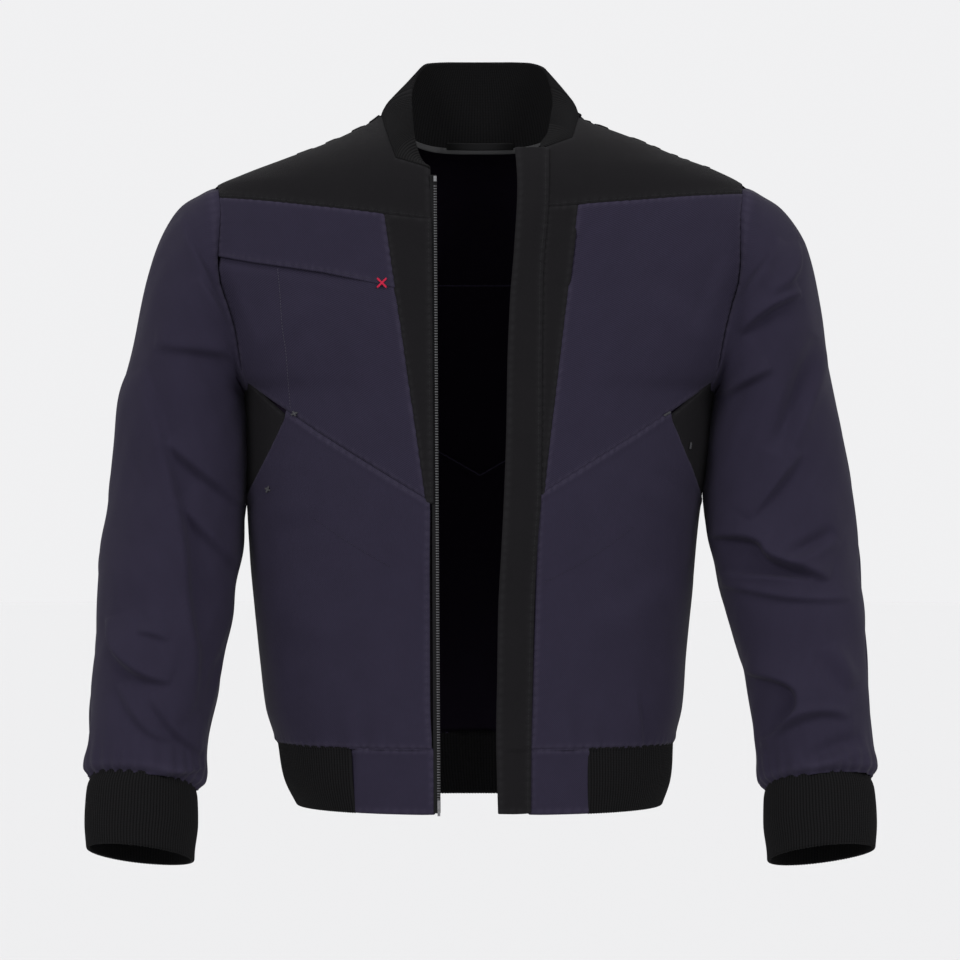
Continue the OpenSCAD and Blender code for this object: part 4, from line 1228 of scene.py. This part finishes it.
# The storm flap over the zip: folded cloth, sewn along its root and into the neck seam.
flap = {
    "free": [(-640, 17.6), (-565, 16), (-506, 16.9), (-449, 17.8), (-392, 20.7), (-334, 23.5), (-277, 25.4),
             (-220, 26.4), (-155, 29), (-105, 33), (-45, 36), (-10, 34)],
    "top": -11, "bottom": -637, "width": 32, "thickness": 2.0, "stand": 2.9, "lift": 4.6, "creaseAt": 21,
    "blendStart": (0.05, -0.1, -0.014), "blendEnd": (0.05, -0.1, -0.09),
}


def makeFlap():
    # stands further off the body toward its free edge, which waves a little
    s, t = gridOf(flap["width"], 625, 2.2)
    z = mixed(flap["bottom"], flap["top"], t)
    root, free = frontEdge(1, z) + 0.5, along(z, flap["free"])
    p = smoothAt(mixed(root, free, s), z)
    wave = 0.9 * np.sin(z / 37.0) + 0.6 * np.sin(z / 16.0 + 1) + 0.5 * np.sin(z / 61.0 + 2)
    closed = eased((-z - 20) / 60)
    stand = flap["stand"] + closed * (flap["lift"] * eased(s * 1.6) + wave * s * 0.9)
    shape, worn = edgeShape(p, {"left": (1.4, 0.3, 3.0, 0.22), "right": (0.3, 0.0, 0, 0.12),
                                "low": (0.3, 0, 0, 0)})
    crease = -0.45 * np.exp(-((s * flap["width"] - flap["creaseAt"]) / 1.6) ** 2)
    final = onSkin(p, stand + shape + crease)
    piece = clothShell("stormFlap", final, flap["thickness"], [blackTwill, blackTwill], wear=worn)
    placed(piece, ["storm_flap"], None, p)
    sewn.append((blackThread, lineBeside(final, "left", 3.0)[:-6], *seamStitch))
    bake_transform(piece)


facing = {"low": -633, "high": -92, "width": 42, "setBack": 2.5, "under": 5.6, "thickness": 1.4}


def makeFacing(side):
    # the black strip inside each front
    s, t = gridOf(facing["width"], 540, 3.0)
    z = mixed(facing["low"], facing["high"], t)
    x0 = frontEdge(side, z) + facing["setBack"]
    p = smoothAt(side * mixed(x0, x0 + facing["width"], s), z)
    final = onSkin(p, -facing["under"])
    piece = clothShell("facing." + sideName(side), final, facing["thickness"], [blackTwill, blackTwill])
    placed(piece, ["facing_" + sideName(side)], "torso", p)


# black sheet under each shoulder seam, there so that gaps in the cloth above show dark as painted shade: near
# and far x, reach, depth under the skin, thickness
shoulderShadeSheet = {"near": 100, "far": 268, "reach": 17, "under": 0.6, "thickness": 1.1}


def makeShoulderShadeSheet(side):
    # a black sheet under the shoulder seam, so that gaps in the cloth above it show dark as painted shade; z
    # is found by halving until |x/a(z)|^n + |y/b(z)|^n = 1
    s, t = gridOf(170, 36, 3.0)
    x = mixed(shoulderShadeSheet["near"], shoulderShadeSheet["far"], s)
    y = shoulderShadeSheet["reach"] * (2 * t - 1)
    low, high = x * 0 - 140, x * 0 + 36
    n = body["roundness"]
    for _ in range(30):
        z = (low + high) / 2
        outside = (x / halfWidth(z, side)) ** n + (np.abs(y) / depthAt(z, y > 0)) ** n > 1
        low, high = np.where(outside, low, z), np.where(outside, z, high)
    p = np.stack([side * x, y, (low + high) / 2], -1)
    final = p - skinNormal(p) * shoulderShadeSheet["under"]
    piece = clothShell("shoulderShadeSheet." + sideName(side), final, shoulderShadeSheet["thickness"],
                       [blackTwill, blackTwill])
    placed(piece, [], "torso", p)


# Side, inner and outer x, low and high end of each bag; depth and thickness of them all.
pocketBags = {
    "handPocketBag.right": ("hand_pocket_bag_right", -1, 98, 205, -500, -315),
    "handPocketBag.left": ("hand_pocket_bag_left", 1, 98, 205, -500, -315),
    "chestPocketBag.right": ("chest_pocket_bag_right", -1, 98, 214, -262, -122),
    "chestPocketBag.left": ("chest_pocket_bag_left", 1, 104, 205, -232, -88),
}
bagLook = {"under": 3.1, "depth": 8.6, "fold": 0.8, "thickness": 1.0}


def makePocketBag(name, node, side, inner, outer, low, high):
    # a thin bag behind a front, deepest in its middle, with a few hanging folds
    s, t = gridOf(outer - inner, high - low, 4.0)
    z = mixed(low, high, t)
    x = np.minimum(mixed(inner, outer, s), halfWidth(z, side) - 14)
    rim = np.minimum(1, 4 * s) * np.minimum(1, 4 * t)
    p = smoothAt(side * x, z)
    hang = bagLook["fold"] * np.sin(x / 11 + np.sin(z / 40)) * rim * eased((1 - t) * 2)
    final = onSkin(p, hang - bagLook["under"] - bagLook["depth"] * eased(rim))
    piece = clothShell(name, final, bagLook["thickness"], [innerCloth, innerCloth])
    placed(piece, [node], "torso", p)


def makeNeckTape():
    # the covered neck seam inside the collar, with its overlock stitches
    s, t = np.meshgrid(np.linspace(0, 1, 120), np.linspace(0, 1, 5), indexing="ij")
    w = mixed(-0.43, 0.43, s)
    p = neckSeam(w) + np.stack([0 * t, 0 * t, mixed(-3.5, 1.5, t)], -1)
    inward = (np.array([0, -10, 0]) - p) * np.array([1, 1, 0])
    inward = inward / np.linalg.norm(inward, axis=-1, keepdims=True)
    final = p + inward * (rib["thickness"] + 1.0)
    piece = clothShell("neckTape", final, 0.9, [paleCloth, paleCloth])
    placed(piece, ["neck_tape"], "torso", p)
    zigzag = final + inward * 0.35
    even, walk = np.linspace(0, 1, len(zigzag)), np.linspace(0, 1, 150)
    low, high = [np.stack([np.interp(walk, even, zigzag[:, row, k]) for k in range(3)], -1)
                 for row in (0, -1)]
    line = np.where((np.arange(len(walk)) % 2 == 0)[:, None], low, high)
    addStitches("neckOverlock", paleThread, [(line[:-1], line[1:], 0.3)])


def makeHangerLoop():
    # a folded tape that bows forward from the back of the neck
    s, t = np.meshgrid(np.linspace(0, 1, 70), np.linspace(0, 1, 7), indexing="ij")
    half, bow, back, low, wide = 33.0, 16.0, 53.6, 1.0, 6.0
    radius = (half ** 2 + bow ** 2) / (2 * bow)
    turn = (s - 0.5) * 2 * math.asin(half / radius)
    y = back - (radius * np.cos(turn) - radius + bow)
    p = np.stack([radius * np.sin(turn), y, low + wide * t - 1.5 * np.cos(turn * 2)], -1)
    piece = clothShell("hangerLoop", p, 1.2, [zipCloth, zipCloth], about=p + np.array([0, 10.0, 0]))
    placed(piece, ["hanger_loop"], "torso", p)


def addStitches(name, paint, runs):
    # every stitch is a short rounded bar between two points: four rings of six points and two caps
    turns = np.linspace(0, 2 * np.pi, 6, endpoint=False)
    share = np.array([0.0, 0.14, 0.86, 1.0])
    width = np.array([0.45, 1.0, 1.0, 0.45])
    points, faces, total = [], [], 0
    for begin, finish, radius in runs:
        axis = finish - begin
        axis = axis / np.maximum(np.linalg.norm(axis, axis=-1, keepdims=True), 1e-9)
        side = np.cross(axis, np.array([0.12, -0.97, 0.2]))
        side = side / np.maximum(np.linalg.norm(side, axis=-1, keepdims=True), 1e-9)
        up = np.cross(side, axis)
        ring = side[:, None] * np.cos(turns)[None, :, None] + up[:, None] * np.sin(turns)[None, :, None]
        centre = begin[:, None] + (finish - begin)[:, None] * share[None, :, None]
        block = centre[:, :, None] + ring[:, None] * (radius * width)[None, :, None, None]
        count = len(begin)
        points.append(block.reshape(-1, 3))
        ids = np.arange(24).reshape(4, 6)
        ids = np.concatenate([ids, ids[:, :1]], 1)
        body4 = np.stack([ids[:-1, :-1], ids[:-1, 1:], ids[1:, 1:], ids[1:, :-1]], -1).reshape(-1, 4)
        caps = np.array([[3, 2, 1, 0], [5, 4, 3, 0], [18, 19, 20, 21], [18, 21, 22, 23]])
        one = np.concatenate([body4, caps])
        faces.append((one[None] + (np.arange(count) * 24)[:, None, None] + total).reshape(-1, 4))
        total += count * 24
    faces = np.concatenate(faces)
    piece = makeMesh(name, np.concatenate(points), faces, np.zeros(len(faces)), [paint])
    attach(piece, "torso")
    return piece


def spaced(line, pitch):
    # points at even distances along a line
    run = np.concatenate([[0], np.cumsum(np.linalg.norm(np.diff(line, axis=0), axis=-1))])
    at = np.arange(pitch / 2, run[-1] - pitch / 2, pitch)
    return at, lambda d: np.stack([np.interp(d, run, line[:, k]) for k in range(3)], -1)


def sewAll():
    # the lines kept while the cloth was made, one mesh for each thread
    groups = {}
    for paint, line, pitch, length, radius in sewn:
        at, place = spaced(line, pitch)
        run = (place(at - length / 2), place(at + length / 2), radius)
        groups.setdefault(paint.name, []).append(run)
    for word, runs in groups.items():
        addStitches("seamStitches.torso." + word, bpy.data.materials[word], runs)


def sewOnFront(xs, zs, stand=0.1):
    # a line over the front cloth through the given points
    xs, zs = np.asarray(xs, float), np.asarray(zs, float)
    reach = np.concatenate([[0], np.cumsum(np.hypot(np.diff(xs), np.diff(zs)))])
    walk = np.linspace(0, reach[-1], max(int(reach[-1] / 2), 3))
    return frontPoint(through(walk, reach, xs), through(walk, reach, zs), stand)


def barTack(name, node, bars, thread, stand=1.0):
    # a bar is two long stitches under a close row of short, slightly leaning ones laid across them
    runs = []
    for x, z, length, angle in bars:
        c, s = math.cos(math.radians(angle)), math.sin(math.radians(angle))
        pitch, lean = 0.62, 0.18
        a = (np.arange(int(length / pitch)) + 0.5) * pitch - length / 2
        across = 0.95 + 0.15 * np.cos(a * 7)
        begin = frontPoint(x + a * c + across * s + lean * c, z + a * s - across * c + lean * s, stand)
        finish = frontPoint(x + a * c - across * s - lean * c, z + a * s + across * c - lean * s, stand)
        runs.append((begin, finish, 0.3))
        for off in (-0.4, 0.4):
            ends = np.array([-length / 2 - 0.5, length / 2 + 0.5])
            line = frontPoint(x + ends * c - off * s, z + ends * s + off * c, stand - 0.35)
            runs.append((line[:1], line[1:], 0.28))
    piece = addStitches(name, thread, runs)
    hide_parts(node)


# The zip: pitch and size of one tooth, width of the woven tape.
zipper = {"pitch": 2.5, "tooth": (3.0, 1.35, 2.1), "top": -40, "bottom": -638}


def zipPoint(side, z):
    # the straight line of one row of teeth
    t = (zipper["top"] - z) / (zipper["top"] - zipper["bottom"])
    x = mixed(64, 47, t) - 14.5 if side > 0 else -(mixed(47, 43, t) - 4.5)
    y = -mixed(99.6, 130, t) + (4 if side > 0 else 0.5)
    return np.stack([x + 0 * z, y, z + 0 * t], -1)


def makeTeeth(side):
    # one tooth: a rounded block with a narrow head that leans over the edge; all teeth of a row are one mesh
    low, high = zipPoint(side, np.array(-624.6)), zipPoint(side, np.array(-43.2))
    axis = (high - low) / np.linalg.norm(high - low)
    out = np.array([1.0, 0, 0]) - axis * axis[0]
    out = out / np.linalg.norm(out)
    front = np.cross(axis, out)
    w, h, d = zipper["tooth"]
    profile = np.array([(-w / 2, 0.9), (-w / 6, 1.0), (w / 4, 0.72), (w / 2, 0.85)])
    corner = np.array([(-1, -1), (1, -1), (1, 1), (-1, 1)]) / 2
    toward = -1 if side > 0 else 1
    place = np.array([[(px * toward, cy * d * share, cz * h * share) for cy, cz in corner]
                      for px, share in profile])
    block = place[..., 0:1] * out + place[..., 1:2] * front + place[..., 2:3] * axis
    count = int(np.linalg.norm(high - low) / zipper["pitch"])
    centres = low + axis * ((np.arange(count) + (0.75 if side > 0 else 0.25)) * zipper["pitch"])[:, None]
    points = (centres[:, None, None] + block[None]).reshape(-1, 3)
    ids = np.arange(16).reshape(4, 4)
    ids = np.concatenate([ids, ids[:, :1]], 1)
    one = np.concatenate([quadsOf(ids), [[0, 1, 2, 3]], [[15, 14, 13, 12]]])
    if toward > 0:
        one = one[:, ::-1]
    faces = (one[None] + (np.arange(count) * 16)[:, None, None]).reshape(-1, 4)
    piece = makeMesh("zipTeeth." + sideName(side), points, faces, np.zeros(len(faces)), [toothPlastic])
    bevel = piece.modifiers.new("rounded", "BEVEL")
    bevel.width = 0.25 * mm
    bevel.segments = 1
    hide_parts("zip_teeth_" + sideName(side))
    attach(piece, "torso")


def makeZipTape(side):
    # the woven tape, with the cord along its teeth
    if side > 0:
        s, t = gridOf(14.5, 600, 2.4)
    else:
        s, t = np.meshgrid(np.linspace(0, 1, 9), edgeSteps(600, 2.4), indexing="ij")
    z = mixed(-637.0, -37.0, t)
    line = zipPoint(side, z)
    width = 13.6 if side > 0 else 5.6
    across = (-1.2 + width * s) if side > 0 else (1.2 - width * s)
    cord = 0.75 * np.exp(-((width * s - 2.0) / 0.8) ** 2)
    p = line + np.stack([across, -0.1 - cord + 0 * across, 0 * across], -1)
    piece = clothShell("zipTape." + sideName(side), p, 0.9, [zipCloth, zipCloth])
    placed(piece, ["zip_tape_" + sideName(side)], "torso", p)


makeFlap()
for side in (1, -1):
    makeFacing(side)
    makeShoulderShadeSheet(side)
    makeTeeth(side)
    makeZipTape(side)
for name, bag in pocketBags.items():
    makePocketBag(name, *bag)
makeNeckTape()
makeHangerLoop()
for node in ("zip_top_stop_right", "zip_top_stop_left", "zip_pin", "zip_box", "zip_slider", "zip_pull"):
    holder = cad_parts[node]
    for slot in holder.material_slots:
        slot.material = zipMetal
print("flap, facings, bags and zip made")

# Node and bars of each pale tack; a bar is its x, z, length and angle.
paleTacks = {
    "penTack": ("pen_tack", [(-176, -262, 6, 20), (-176, -262, 5, -60)]),
    "pocketTackRight": ("pocket_tack_right", [(-202, -334, 6, 70), (-202, -334, 5, -25)]),
    "pocketTackLeftTop": ("pocket_tack_left_top", [(178, -262, 7, 30)]),
    "pocketTackLeftLow": ("pocket_tack_left_low", [(200, -292, 6, 80)]),
}
barTack("crossTack", "cross_tack", [(-92.5, -139, 12, 45), (-92.5, -139, 12, -45)], redThread)
for name, (node, bars) in paleTacks.items():
    barTack(name, node, bars, paleThread)
# stitches that hold the bags and the pen pocket to the fronts
penLine = sewOnFront([-192, -188, -183, -180], [-124, -170, -215, -258], 0.2)
sewn.append((faintThread, penLine, 3.0, 2.0, 0.25))
for xs, zs in (([-158, -120, -82], [-361, -386, -408]), ([55, 101, 147], [-424, -400, -368])):
    sewn.append((navyThread, sewOnFront(xs, zs, 0.2), 3.0, 2.1, 0.22))
sewAll()
print("stitches made")
